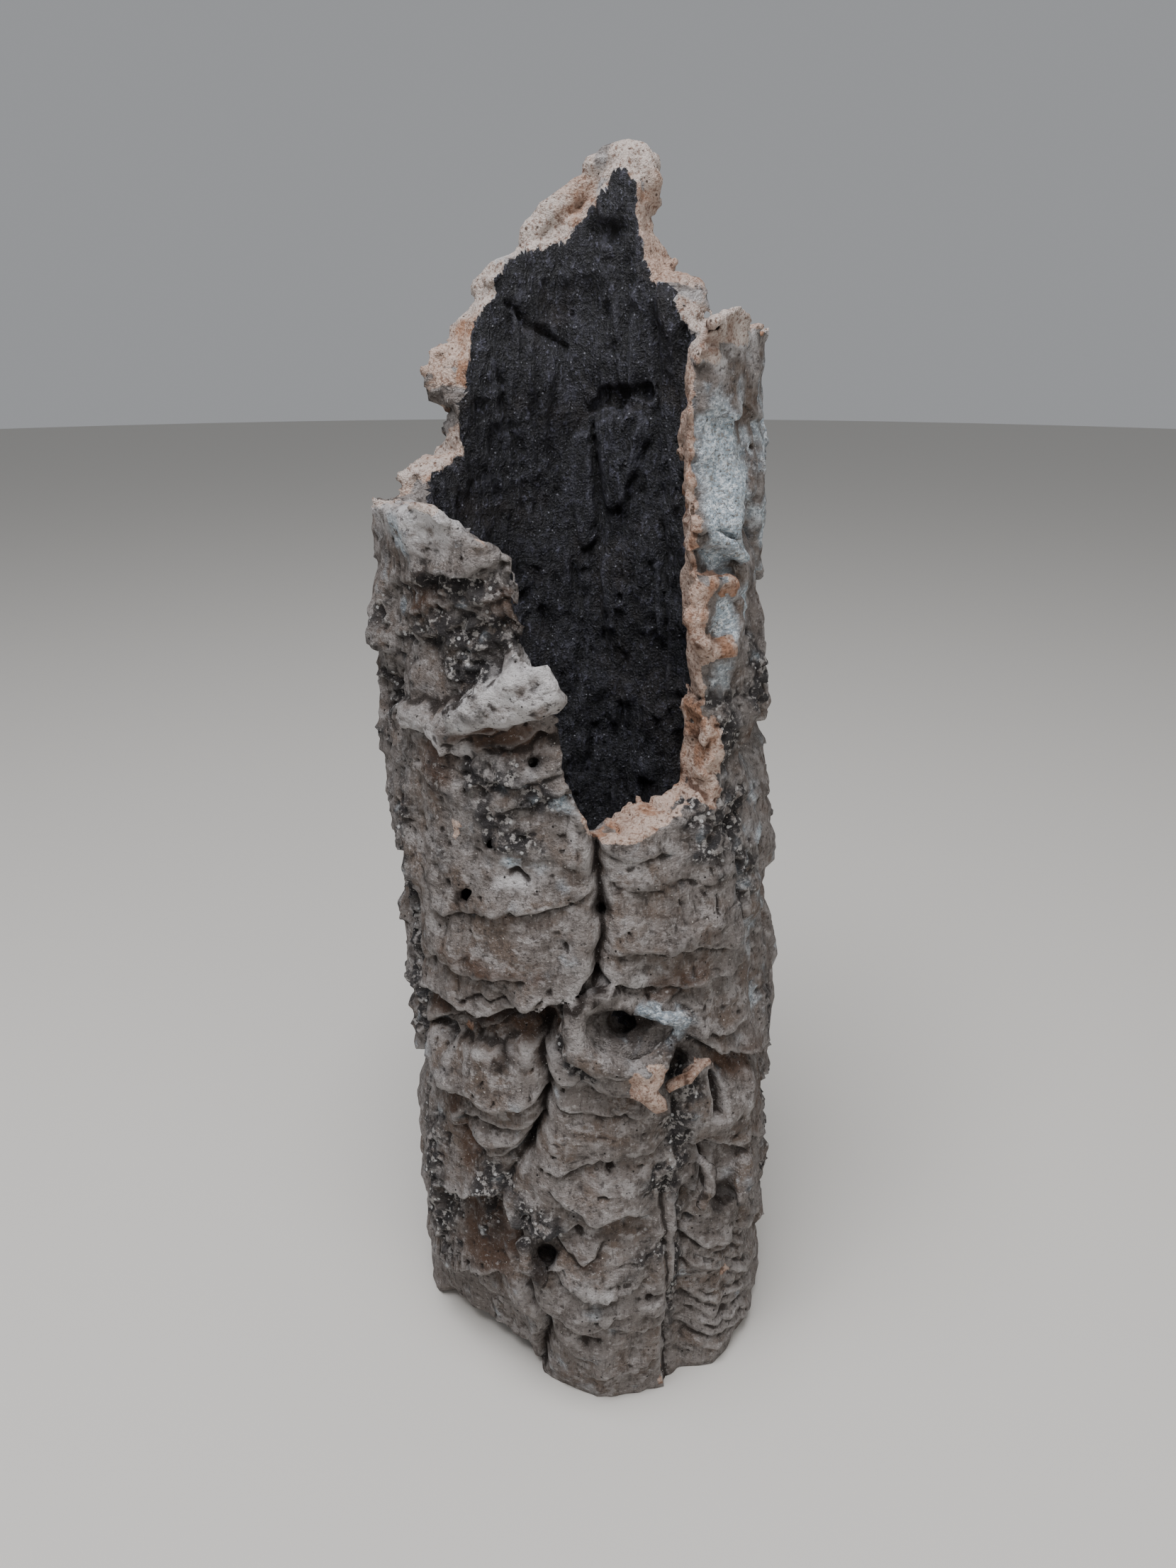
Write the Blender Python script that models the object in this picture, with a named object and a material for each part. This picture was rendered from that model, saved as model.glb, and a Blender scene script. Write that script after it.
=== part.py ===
"""Cork bark branch: one hollow length of cork bark, broken open at the front and standing on its cut foot.

The bark is one grown piece, so it is one solid. A point of its skin is given by its bearing in
degrees (0 at the front, which is -Y, and growing towards +X) and its height in millimetres.
"""
import bpy
import numpy as np

MM = 0.001

# Driving dimensions, in millimetres
HEIGHT = 507.0            # foot to the tip of the spire
FOOT_RADIUS = 78.5        # mean outer radius near the foot
TOP_RADIUS = 73.5         # mean outer radius near the rim
INNER_RADIUS = 62.5       # mean radius of the hollow at the foot
TOP_INNER_RADIUS = 59.0   # mean radius of the hollow at the rim
LEAN = 13.0               # how far the axis leans to the left at the tip
LEAN_START = 120.0        # height where the lean begins
FOOT_LIFT = 10.0          # gap under the broken left front edge of the foot
BREAK_DROP = 13.0         # how much lower the inner edge of the break is along the spire
DROOP = 0.42              # downward slide of proud bark, for each mm that it stands out

# Mesh density
COLUMNS = 264             # columns round the bark
OUTER_ROWS = 170          # rows up the outside
INNER_ROWS = 60           # rows up the hollow
BREAK_ROWS = 3            # rows across the broken rim
SOLID_FACES = 9400        # triangles that the solid keeps

# The broken rim, from the back round by the left, the front and the right: (bearing, height)
RIM = [
    (-180, 487), (-176, 482), (-171, 473), (-166, 467), (-158, 462), (-153, 456), (-152, 447), (-146, 438),
    (-143, 431), (-137, 425), (-135, 413), (-137, 402), (-136, 391), (-132, 386), (-116, 384), (-100, 383),
    (-80, 381), (-66, 380), (-56, 380), (-50, 383), (-39, 382), (-30, 380), (-20, 375), (-14.5, 369),
    (-13.2, 360), (-13, 347), (-11, 338), (-7, 332), (-4.4, 324), (-3.8, 310), (-2.6, 298), (-0.4, 290),
    (1.2, 282), (3, 271), (5.5, 266), (8, 266), (17, 268), (26, 271), (33, 277), (38, 284),
    (38.6, 300), (38, 320), (36.6, 340), (35.4, 360), (35, 385), (35.4, 402), (36.4, 418), (37.6, 433),
    (41, 441), (47, 445), (55, 443), (66, 439), (80, 437), (100, 438), (118, 441), (128, 446),
    (133, 452), (140, 457), (144, 464), (147, 475), (146, 487), (148.5, 499), (154, 507), (161, 505),
    (167, 500), (172, 492), (180, 487)]

# Ledges: bark stands proud above the line and is hollowed below it.
# Each is (line, proud, hollow, reach up, reach down)
LEDGES = [
    # The long lip under the second tier, with the cave below it
    ([(-62, 182), (-50, 186), (-40, 187), (-33, 188), (-27, 193), (-17, 196), (-8, 199), (-3, 205), (3, 214)],
     5.5, 13.0, 34, 17),
    # The flap at the top of the second tier
    ([(-36, 303), (-30, 306), (-22, 310), (-14, 313), (-6, 317), (-1, 321)], 6.0, 5.0, 14, 9),
    # Folds of the lower left lobe
    ([(-58, 143), (-44, 147), (-30, 151), (-14, 154)], 1.5, 3.5, 20, 8),
    ([(-48, 130), (-40, 127), (-33, 129), (-24, 131), (-16, 140)], 2.5, 6.0, 12, 10),
    # The slanting crust over the brown hollow at the lower left
    ([(-50, 92), (-42, 93), (-37, 96), (-32, 103), (-28, 98), (-22, 91), (-14, 88), (-6, 84)], 3.5, 9.0, 16, 22),
    ([(-76, 36), (-65, 35), (-55, 42), (-46, 48), (-38, 53), (-29, 57)], 3.0, 6.0, 14, 26),
    # Folds of the front lobe
    ([(-12, 115), (-8, 109), (-4, 105), (0, 102), (8, 102), (17, 99)], 3.6, 4.6, 18, 9),
    ([(-9, 62), (0, 60), (9, 59), (17, 59), (23, 57)], 3.2, 4.0, 12, 8),
    ([(-14, 46), (-5, 45), (2, 44), (8, 43), (16, 39), (24, 37)], 2.4, 4.4, 8, 8),
    ([(-8, 19), (2, 20), (12, 21), (20, 20)], 2.0, 2.6, 8, 10),
    # The sheet under the knot
    ([(-8, 157), (-3, 151), (3, 147), (10, 149), (16, 152)], 2.6, 3.6, 16, 9),
    # Steps down the right side
    ([(28, 196), (35, 198), (44, 197), (56, 196), (70, 192)], 2.6, 4.0, 16, 10),
    ([(29, 176), (35, 176), (42, 172), (49, 162), (58, 155), (72, 151)], 4.4, 8.0, 14, 14),
    ([(33, 125), (40, 121), (48, 115), (59, 107), (72, 104)], 4.6, 8.5, 24, 15),
    ([(30, 83), (37, 79), (44, 80), (52, 85), (64, 86)], 2.4, 4.0, 14, 10),
    ([(32, 62), (40, 65), (50, 66), (62, 60), (76, 52)], 2.6, 4.0, 12, 9),
    ([(38, 18), (46, 14), (56, 11), (70, 22)], 2.0, 3.0, 14, 10),
    # Lips of the upper right lobe and the column above it
    ([(6, 246), (16, 249), (28, 247), (40, 250), (54, 246), (66, 241)], 1.8, 3.0, 16, 9),
    ([(58, 292), (66, 288), (76, 290), (88, 296)], 3.0, 6.5, 20, 12),
    ([(40, 402), (50, 398), (62, 402), (76, 396), (90, 401)], 2.0, 3.6, 18, 10),
    # Tiers round the left side and the back
    ([(-128, 338), (-112, 330), (-96, 333), (-82, 326), (-66, 322)], 3.4, 6.0, 26, 14),
    ([(-136, 248), (-122, 256), (-106, 250), (-92, 243), (-76, 246), (-64, 238)], 4.0, 8.0, 30, 16),
    ([(-130, 150), (-116, 143), (-100, 148), (-86, 140), (-70, 147)], 3.6, 7.0, 24, 14),
    ([(-142, 66), (-124, 72), (-108, 64), (-92, 70), (-80, 62)], 3.0, 6.0, 22, 14),
    ([(84, 352), (98, 344), (112, 350), (128, 342)], 3.4, 6.5, 26, 14),
    ([(78, 226), (92, 232), (108, 222), (124, 228), (138, 220)], 4.2, 8.5, 28, 16),
    ([(82, 122), (96, 116), (112, 124), (128, 117)], 3.6, 7.0, 24, 14),
    ([(80, 44), (98, 50), (116, 42), (130, 47)], 2.8, 5.0, 20, 12),
    ([(142, 392), (156, 400), (170, 392), (184, 398), (200, 390)], 3.0, 5.0, 24, 12),
    ([(146, 292), (160, 300), (176, 294), (192, 302), (210, 296)], 4.0, 8.0, 30, 16),
    ([(140, 176), (156, 168), (172, 176), (188, 170), (206, 178)], 4.0, 8.0, 26, 16),
    ([(144, 84), (160, 92), (178, 84), (196, 90), (214, 82)], 3.4, 6.0, 24, 14),
]

# Shelves: the bark below the line stands proud of the bark above it.
# Each is (line, step, reach up)
SHELVES = [
    ([(-64, 300), (-52, 306), (-40, 309), (-34, 312), (-27, 319), (-19, 327), (-14, 332), (-8, 334)], 6.5, 70),
    ([(-8, 208), (-2, 214), (8, 212), (18, 207), (26, 200)], 2.4, 16),
]

# Seams and cracks: (line, half width, depth)
SEAMS = [
    ([(5.5, 270), (6, 250), (6.8, 241), (7, 226), (5.6, 212)], 3.4, 6.5),
    ([(-9, 188), (-9.4, 164), (-11.4, 156), (-15, 146), (-21, 133), (-22, 118)], 3.0, 6.0),
    ([(-22, 118), (-27, 108), (-30, 100)], 3.0, 5.0),
    ([(-19, 90), (-15, 84), (-12, 77)], 4.2, 9.0),
    ([(-18, 58), (-15, 44), (-20, 30), (-21, 6)], 3.2, 6.0),
    ([(-62, 232), (-60, 206), (-63, 188), (-61, 168), (-66, 140)], 3.4, 8.0),
    ([(-47, 364), (-39, 363)], 2.6, 4.0),
    ([(26, 172), (24, 148), (25, 126)], 2.8, 5.0),
    ([(34, 124), (38, 112), (44, 100), (49, 90)], 3.6, 8.0),
    ([(-104, 372), (-98, 340), (-106, 296), (-99, 262)], 3.2, 6.5),
    ([(-84, 236), (-90, 204), (-82, 172), (-89, 146)], 3.2, 7.0),
    ([(-136, 236), (-128, 196), (-135, 158), (-130, 120)], 3.4, 7.0),
    ([(-100, 132), (-94, 96), (-101, 60), (-97, 18)], 3.2, 6.5),
    ([(-158, 440), (-154, 392), (-161, 350), (-156, 306)], 3.4, 7.0),
    ([(-170, 288), (-163, 240), (-171, 196), (-166, 130), (-172, 92)], 3.6, 8.0),
    ([(76, 430), (71, 384), (78, 330), (73, 296)], 3.2, 6.5),
    ([(102, 414), (108, 372), (101, 330), (107, 286), (100, 240)], 3.6, 8.0),
    ([(134, 436), (128, 380), (136, 320), (129, 262), (134, 232)], 3.4, 7.0),
    ([(114, 214), (121, 170), (113, 128), (119, 84), (112, 30)], 3.6, 7.5),
    ([(84, 206), (90, 168), (83, 132)], 3.2, 6.5),
    ([(150, 162), (158, 124), (151, 96)], 3.2, 6.5),
    ([(162, 470), (168, 430), (160, 402)], 3.0, 5.5),
]

# Round swellings and hollows: (bearing, height, half width in mm, half height in mm, rise)
MOUNDS = [
    (1, 66, 30, 74, 4.0),         # the front lobe
    (1, 112, 20, 13, 3.0),        # its draped fold
    (-34, 162, 34, 26, 3.0),      # the lower left lobe
    (-25, 236, 46, 44, 2.5),      # the second tier
    (30, 238, 40, 34, 2.5),       # the upper right lobe
    (48, 140, 22, 22, 3.2),       # the smooth lobe at the right
    (-38, 74, 22, 22, -6.5),      # the brown hollow at the lower left
    (-48, 18, 34, 26, -8.0),      # the foot drawn in under the left front
    (31, 60, 10, 70, -3.0),       # the band beside the front lobe
    (44, 350, 14, 22, 5.0),       # the knob on the right column
    (43, 350, 6, 9, -4.5),        # its dished middle
    (68, 288, 10, 14, -6.0),      # the hollow on the right edge
    (-150, 210, 26, 30, 6.0),     # a burl at the back
    (-150, 208, 10, 12, -6.0),    # its dished middle
    (96, 186, 22, 26, 4.5),       # a swelling at the right
    (178, 344, 26, 34, 4.0),      # a swelling at the back
]

# The knot: the torn collar of a lost side branch
KNOT_BEARING = 16.0
KNOT_HEIGHT = 181.0
KNOT_HALF_WIDTH = 27.0
KNOT_HALF_HEIGHT = 26.0
KNOT_RISE = 9.0
KNOT_DEPTH = 11.0
KNOT_TIP = (14.0, 158.0, 9.0, 9.0, 6.0)     # the beak at the bottom of the collar
KNOT_EAR = (24.0, 189.0, 11.0, 5.0, 5.0)    # the crusted ridge at its upper right

COLOUR = (0.242, 0.178, 0.128, 1.0)         # taupe cork, linear
ROUGHNESS = 0.92
SHARP_ANGLE = 55.0


def smooth(t):
    """Rises smoothly from 0 to 1 as t goes from 0 to 1."""
    t = np.clip(t, 0.0, 1.0)
    return t * t * (3.0 - 2.0 * t)


def turn(bearing, about):
    """The bearing measured from another one, between -180 and 180 degrees."""
    return (bearing - about + 180.0) % 360.0 - 180.0


def across(bearing, about):
    """The way round the bark between two bearings, in millimetres."""
    return np.radians(turn(bearing, about)) * FOOT_RADIUS


def lean(height):
    """How far the axis stands to the right of the foot's centre."""
    return -LEAN * smooth((height - LEAN_START) / (HEIGHT - LEAN_START)) ** 0.8


def along_line(bearing, height, line, fade=9.0):
    """The height above a line that runs round the bark, and how much of the line is there."""
    bearings = np.array([point[0] for point in line], float)
    heights = np.array([point[1] for point in line], float)
    middle = (bearings[0] + bearings[-1]) / 2
    here = middle + turn(bearing, middle)
    above = height - np.interp(here, bearings, heights)
    share = smooth((here - bearings[0]) / fade + 0.5) * smooth((bearings[-1] - here) / fade + 0.5)
    return above, share


def ledge(bearing, height, line, proud, hollow, up, down, edge=2.2):
    """A lip with the bark proud above it and hollowed below it."""
    above, share = along_line(bearing, height, line)
    side = smooth(above / (2 * edge) + 0.5)
    lip = proud * np.exp(-np.maximum(above, 0.0) / up) * side
    cave = hollow * np.exp(-(np.maximum(-above, 0.0) / down) ** 1.5) * (1.0 - side)
    return share * (lip - cave)


def shelf(bearing, height, line, step, up, edge=2.4):
    """A step in, above a line."""
    above, share = along_line(bearing, height, line)
    return -share * step * smooth(above / (2 * edge) + 0.5) * np.exp(-np.maximum(above, 0.0) / up)


def seam(bearing, height, line, half_width, depth):
    """A crack with rounded shoulders along a line that runs up the bark."""
    nearest = np.full(np.shape(bearing), 1e9)
    for (b0, h0), (b1, h1) in zip(line, line[1:]):
        middle = (b0 + b1) / 2
        x = across(bearing, middle)
        x0, x1 = across(b0, middle), across(b1, middle)
        length = (x1 - x0) ** 2 + (h1 - h0) ** 2
        t = np.clip(((x - x0) * (x1 - x0) + (height - h0) * (h1 - h0)) / length, 0.0, 1.0)
        gap = np.hypot(x - x0 - t * (x1 - x0), height - h0 - t * (h1 - h0))
        nearest = np.minimum(nearest, gap)
    return -depth * np.exp(-(nearest / half_width) ** 1.6)


def mound(bearing, height, at, up_at, half_width, half_height, rise):
    """A round swelling, or a hollow where the rise is negative."""
    reach = (across(bearing, at) / half_width) ** 2 + ((height - up_at) / half_height) ** 2
    return rise * np.exp(-reach ** 1.4)


def knot(bearing, height):
    """The raised collar of the knot, its dark mouth, its beak and its crusted ridge."""
    x = across(bearing, KNOT_BEARING) / KNOT_HALF_WIDTH
    y = (height - KNOT_HEIGHT) / KNOT_HALF_HEIGHT
    reach = np.hypot(x, y)
    collar = KNOT_RISE * np.exp(-((reach - 0.86) / 0.26) ** 2)
    mouth = -KNOT_DEPTH * np.exp(-(reach / 0.62) ** 4)
    return collar + mouth + mound(bearing, height, *KNOT_TIP) + mound(bearing, height, *KNOT_EAR)


def front_lobe_side(bearing, height):
    """The broken right side of the front lobe: the bark beyond it lies lower."""
    beyond = across(bearing, 25.0 - 1.5 * np.sin(height / 19.0))
    low = 5.0 * smooth(beyond / 4.0 + 0.5) * smooth(1.0 - (beyond - 8.0) / 22.0)
    return -low * smooth((132.0 - height) / 14.0)


def wrinkles(bearing, height):
    """Broad wrinkles that run mostly round the bark, with soft upright flutes across them."""
    b = np.radians(bearing)
    drift = 9.0 * np.sin(3 * b + 0.7) + 5.0 * np.sin(7 * b + height / 61.0)
    rings = 1.25 * np.sin((height + drift) / 4.6 + 1.1 * np.sin(5 * b + height / 37.0))
    broad = 1.5 * np.sin((height - drift) / 11.5 + 2.0 * np.sin(2 * b + 1.3))
    flutes = 1.3 * np.sin(17 * b + 2.2 * np.sin(height / 33.0)) + 0.9 * np.sin(29 * b - height / 21.0)
    return rings + broad + flutes


def relief(bearing, height):
    """How far the outer skin stands from its mean radius."""
    out = wrinkles(bearing, height)
    for line, *sizes in LEDGES:
        out = out + ledge(bearing, height, line, *sizes)
    for line, *sizes in SHELVES:
        out = out + shelf(bearing, height, line, *sizes)
    for line, *sizes in SEAMS:
        out = out + seam(bearing, height, line, *sizes)
    for swelling in MOUNDS:
        out = out + mound(bearing, height, *swelling)
    return np.clip(out + knot(bearing, height) + front_lobe_side(bearing, height), -11.0, 12.0)


def mean_radius(bearing, height):
    """The bark's outer radius without its relief: slightly oval, and narrower towards the rim."""
    taper = smooth(height / 420.0)
    return (FOOT_RADIUS + (TOP_RADIUS - FOOT_RADIUS) * taper) * (1.0 + 0.012 * np.cos(2 * np.radians(bearing + 35)))


def hollow_radius(bearing, height):
    """The radius of the hollow, with long soft folds up its wall."""
    b = np.radians(bearing)
    taper = INNER_RADIUS + (TOP_INNER_RADIUS - INNER_RADIUS) * smooth(height / 420.0)
    folds = 1.5 * np.sin(5 * b + height / 90.0) + 1.0 * np.sin(11 * b - height / 55.0)
    rings = 0.8 * np.sin(height / 26.0 + 2 * b)
    return taper + folds + rings


def foot_height(bearing):
    """The height of the bark's bottom edge: it stands flat, apart from its broken left front."""
    return FOOT_LIFT * smooth((turn(bearing, -50) + 31.0) / 9.0) * smooth((31.0 - turn(bearing, -50)) / 9.0)


def rim_stations():
    """Points at even steps along the rim, with the bearing at the foot from which each column rises."""
    bearings = np.array([point[0] for point in RIM], float)
    heights = np.array([point[1] for point in RIM], float)
    steps = np.abs(np.diff(bearings)) + 0.20 * np.abs(np.diff(heights))
    way = np.concatenate([[0.0], np.cumsum(steps)])
    even = np.linspace(0.0, way[-1], COLUMNS + 1)[:-1]
    at = np.interp(even, way, bearings)
    top = np.interp(even, way, heights)
    start = -180.0 + 360.0 * even / way[-1]
    ragged = 1.3 * np.sin(even * 1.9) + 0.9 * np.sin(even * 4.3 + 1.0)
    return start, at, top + np.minimum(ragged, HEIGHT - top)


def columns_at(share, start, at):
    """Bearing of each column at a share of its way up: the columns fan out towards the rim."""
    return start + (at - start) * smooth(share) ** 0.9


def place(bearing, height, radius):
    """World position of a point of the bark."""
    b = np.radians(bearing)
    return np.stack([lean(height) + radius * np.sin(b), -radius * np.cos(b), height], axis=-1) * MM


def outside(start, at, top):
    """Rows of points up the outer skin, from the foot to the rim."""
    foot = foot_height(start)
    rows = []
    for share in np.linspace(0.0, 1.0, OUTER_ROWS):
        bearing = columns_at(share, start, at)
        height = foot + (top - foot) * share
        out = relief(bearing, height)
        held = smooth((height - foot) / 12.0) * smooth((top - height) / 10.0)
        radius = mean_radius(bearing, height) + out * (0.55 + 0.45 * smooth((height - foot) / 8.0))
        rows.append(place(bearing, height - DROOP * out * held, radius))
    return rows


def inside(start, at, top):
    """Rows of points down the hollow, from the rim to the foot."""
    foot = foot_height(start)
    spire = smooth((np.abs(at) - 128.0) / 20.0) * smooth((top - 415.0) / 40.0)
    edge = top - 2.0 - BREAK_DROP * spire
    rows = []
    for share in np.linspace(1.0, 0.0, INNER_ROWS):
        bearing = columns_at(share, start, at)
        height = foot + (edge - foot) * share
        rows.append(place(bearing, height, hollow_radius(bearing, height)))
    return rows


def broken_rim(outer_edge, inner_edge):
    """Rows across the broken rim, slightly crowned and torn."""
    rows = []
    for step in range(1, BREAK_ROWS):
        share = step / BREAK_ROWS
        row = outer_edge + (inner_edge - outer_edge) * share
        wave = np.sin(np.arange(COLUMNS) * 0.83 + step)
        row[:, 2] += (0.9 * wave - 0.6) * MM
        rows.append(row)
    return rows


def closed_skin(rows):
    """Points and quads of a skin whose rows are closed rings, the last joined to the first."""
    points = np.concatenate(rows)
    count = len(rows)
    faces = []
    for r in range(count):
        below, above = r * COLUMNS, (r + 1) % count * COLUMNS
        for c in range(COLUMNS):
            d = (c + 1) % COLUMNS
            faces.append((below + c, below + d, above + d, above + c))
    return points, faces


def centred(points):
    """The points moved so that the box round them stands on the origin."""
    low, high = points.min(axis=0), points.max(axis=0)
    return points - np.array([(low[0] + high[0]) / 2, (low[1] + high[1]) / 2, low[2]])


def cork_material():
    material = bpy.data.materials.new("cork_bark")
    material.use_nodes = True
    shader = material.node_tree.nodes["Principled BSDF"]
    shader.inputs["Base Color"].default_value = COLOUR
    shader.inputs["Roughness"].default_value = ROUGHNESS
    shader.inputs["Metallic"].default_value = 0.0
    return material


def thinned(bark):
    """The bark's mesh with far fewer faces and a flat foot."""
    lighter = bark.modifiers.new("fewer faces", "DECIMATE")
    lighter.ratio = SOLID_FACES / (2 * len(bark.data.polygons))
    lighter.use_collapse_triangulate = True
    seen = bark.evaluated_get(bpy.context.evaluated_depsgraph_get())
    mesh = bpy.data.meshes.new_from_object(seen)
    bark.modifiers.remove(lighter)
    for vertex in mesh.vertices:
        if vertex.co.z < 0.6 * MM:
            vertex.co.z = 0.0
    return mesh


def build():
    for thing in list(bpy.data.objects):
        bpy.data.objects.remove(thing, do_unlink=True)
    start, at, top = rim_stations()
    outer = outside(start, at, top)
    inner = inside(start, at, top)
    points, faces = closed_skin(outer + broken_rim(outer[-1], inner[0]) + inner)
    mesh = bpy.data.meshes.new("cork_bark")
    mesh.from_pydata(centred(points).tolist(), [], faces)
    bark = bpy.data.objects.new("cork_bark", mesh)
    bpy.context.collection.objects.link(bark)
    bark.data = thinned(bark)
    bark.data.materials.append(cork_material())
    bark.data.shade_smooth()
    bark.data.set_sharp_from_angle(angle=np.radians(SHARP_ANGLE))


build()
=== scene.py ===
"""Looks of the cork bark branch: the fine surface of the bark, its finishes, and a plain studio.

A place on the bark is a bearing in degrees (0 at the front, which is -Y, growing towards +X) and a
height in millimetres. All lengths are in millimetres until a mesh is made.
"""
import math

import bpy
import numpy as np
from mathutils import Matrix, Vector


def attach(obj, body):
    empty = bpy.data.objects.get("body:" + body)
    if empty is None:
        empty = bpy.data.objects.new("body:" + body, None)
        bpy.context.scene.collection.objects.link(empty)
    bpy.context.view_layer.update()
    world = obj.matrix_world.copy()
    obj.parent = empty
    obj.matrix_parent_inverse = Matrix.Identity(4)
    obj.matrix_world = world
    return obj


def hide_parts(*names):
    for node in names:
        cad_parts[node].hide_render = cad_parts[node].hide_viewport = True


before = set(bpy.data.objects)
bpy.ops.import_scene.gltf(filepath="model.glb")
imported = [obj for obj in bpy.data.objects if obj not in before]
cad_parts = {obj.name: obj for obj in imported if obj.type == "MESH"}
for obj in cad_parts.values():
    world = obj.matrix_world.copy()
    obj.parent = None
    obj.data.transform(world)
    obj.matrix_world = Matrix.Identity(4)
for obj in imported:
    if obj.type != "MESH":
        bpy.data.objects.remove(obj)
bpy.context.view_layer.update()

MM = 0.001

# Sizes of the bark, in millimetres
HEIGHT = 507.0
BODY_RADIUS = 78.5
TOP_RADIUS = 73.5
FOOT_RISE = 62.0
INNER_RADIUS = 62.5
LEAST_BARK = 3.0          # the bark is nowhere thinner than this
TOP_INNER_RADIUS = 59.0
LEAN = 13.0
LEAN_START = 120.0
FOOT_LIFT = 11.0
FOOT_TUCK = 10.0
DROOP = 0.42
CENTRE = (2.29, 5.36)     # how far the bark's axis stands from the middle of its box
OPENING_LOW = 225.0       # below this height no rim is felt
RIM_REACH = 45.0          # nor further than this from it

# Grain of the work
SKIN_STEP = 0.5      # spacing of the skin maps
VOXEL = 1.1          # spacing of the solid grid
BARK_FACES = 196000
GRID_LOW = (-96.0, -100.0)             # where the solid grid starts and ends, x and y
GRID_HIGH = (94.0, 92.0)
GRID_HEADROOM = 4.0                    # how far it reaches over the tip
WALL_RING = (38.0, 112.0)              # the bark lies between these distances from the grid's middle
ROUGH_REACH = 4.5                      # how far from the surface the fine roughness is worked out
OPEN_AIR = 20.0                        # the field's value away from the bark

# The outline that the foot stands on: (bearing, radius)
FOOT = [
    (-180, 79), (-140, 80), (-98, 81), (-84, 77), (-64, 70), (-50, 67), (-38, 64), (-25, 64), (-13, 66),
    (-1, 70), (12, 73), (25, 74), (34, 73), (45, 78), (64, 78), (90, 80), (130, 79), (180, 79)]

# The broken rim on the outside, from the back round by the left, the front and the right: (bearing, height)
RIM = [
    (-180, 489), (-177, 486), (-172, 480), (-169, 474.5), (-167.5, 469.5), (-161, 465), (-155.5, 461),
    (-151.5, 457), (-151, 446.5), (-147, 443), (-142, 435.5), (-137, 430.5), (-133, 429.5), (-130.5, 425),
    (-129, 414.5), (-131.5, 411), (-138, 405.5), (-136, 400), (-138, 396), (-134, 387), (-125, 385.5),
    (-118, 385), (-113.5, 383), (-111.5, 376), (-105, 373.5), (-95, 374), (-85, 376), (-78, 377.5),
    (-66, 378.5), (-56, 379), (-50, 380), (-43, 380), (-38, 379), (-34, 377.5), (-28.5, 375), (-24.5, 372),
    (-20, 368.5), (-17, 366.5), (-14.3, 363), (-13.3, 355), (-13.5, 347), (-13, 336), (-9, 328),
    (-5.4, 320), (-3.8, 310),
    (-2.6, 298), (-0.4, 290), (1.2, 282), (3, 271), (5.5, 266), (8, 266), (17, 268), (26, 271), (33, 277),
    (38, 284), (38.6, 300), (38, 320), (36.6, 340), (35.4, 360), (35, 385), (35.4, 402), (36.4, 418),
    (37.6, 433), (41, 441), (47, 445), (55, 443), (66, 439), (80, 437), (100, 437), (114, 438), (124, 440),
    (129.5, 442), (129, 450), (131.5, 454), (137, 456.5), (142, 459), (146, 466), (150, 470), (150.5, 478),
    (148.5, 486), (148, 494), (149, 501), (153, 506), (158.5, 507.5), (163, 505.5), (167, 502.5),
    (170.5, 499), (171, 491.5), (176, 490), (180, 489)]

# The same rim on the wall of the hollow: the break slopes through the bark
RIM_INSIDE = [
    (-180, 470.5), (-175, 468.5), (-165.5, 467), (-158.5, 463.5), (-154, 460.5), (-150.5, 455.5),
    (-153.5, 450), (-147, 446), (-143, 442), (-139.5, 430.5), (-135.5, 422.5), (-134, 415.5), (-130.5, 409),
    (-130, 401), (-132, 391), (-124, 386), (-116, 384), (-112, 380), (-109, 372.5), (-98, 371), (-88, 374),
    (-78, 376.5), (-67, 377), (-55, 377.5), (-47, 377), (-38, 374.5), (-32, 371.5), (-26, 368), (-22, 366),
    (-19, 361), (-18.5, 345), (-17, 336), (-13, 329), (-10.5, 321),
    (-10, 309), (-9, 297), (-7, 288), (-5, 279), (-2, 270), (3, 264), (6, 264), (11, 268), (20, 274),
    (26, 272), (33, 276), (38, 281), (40, 300), (43, 314), (42, 331), (40, 346), (42, 368), (42, 395),
    (43, 412), (45, 430), (52, 434), (64, 431), (80, 429), (100, 430), (120, 433), (125, 443.5),
    (128.5, 452.5), (134, 455), (141, 455), (145, 464), (147.5, 474.5), (148.5, 484.5), (147.5, 490.5),
    (151, 494.5), (155, 498), (158.5, 496), (161.5, 491), (168, 484), (170.5, 480), (173.5, 474),
    (180, 470.5)]

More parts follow.
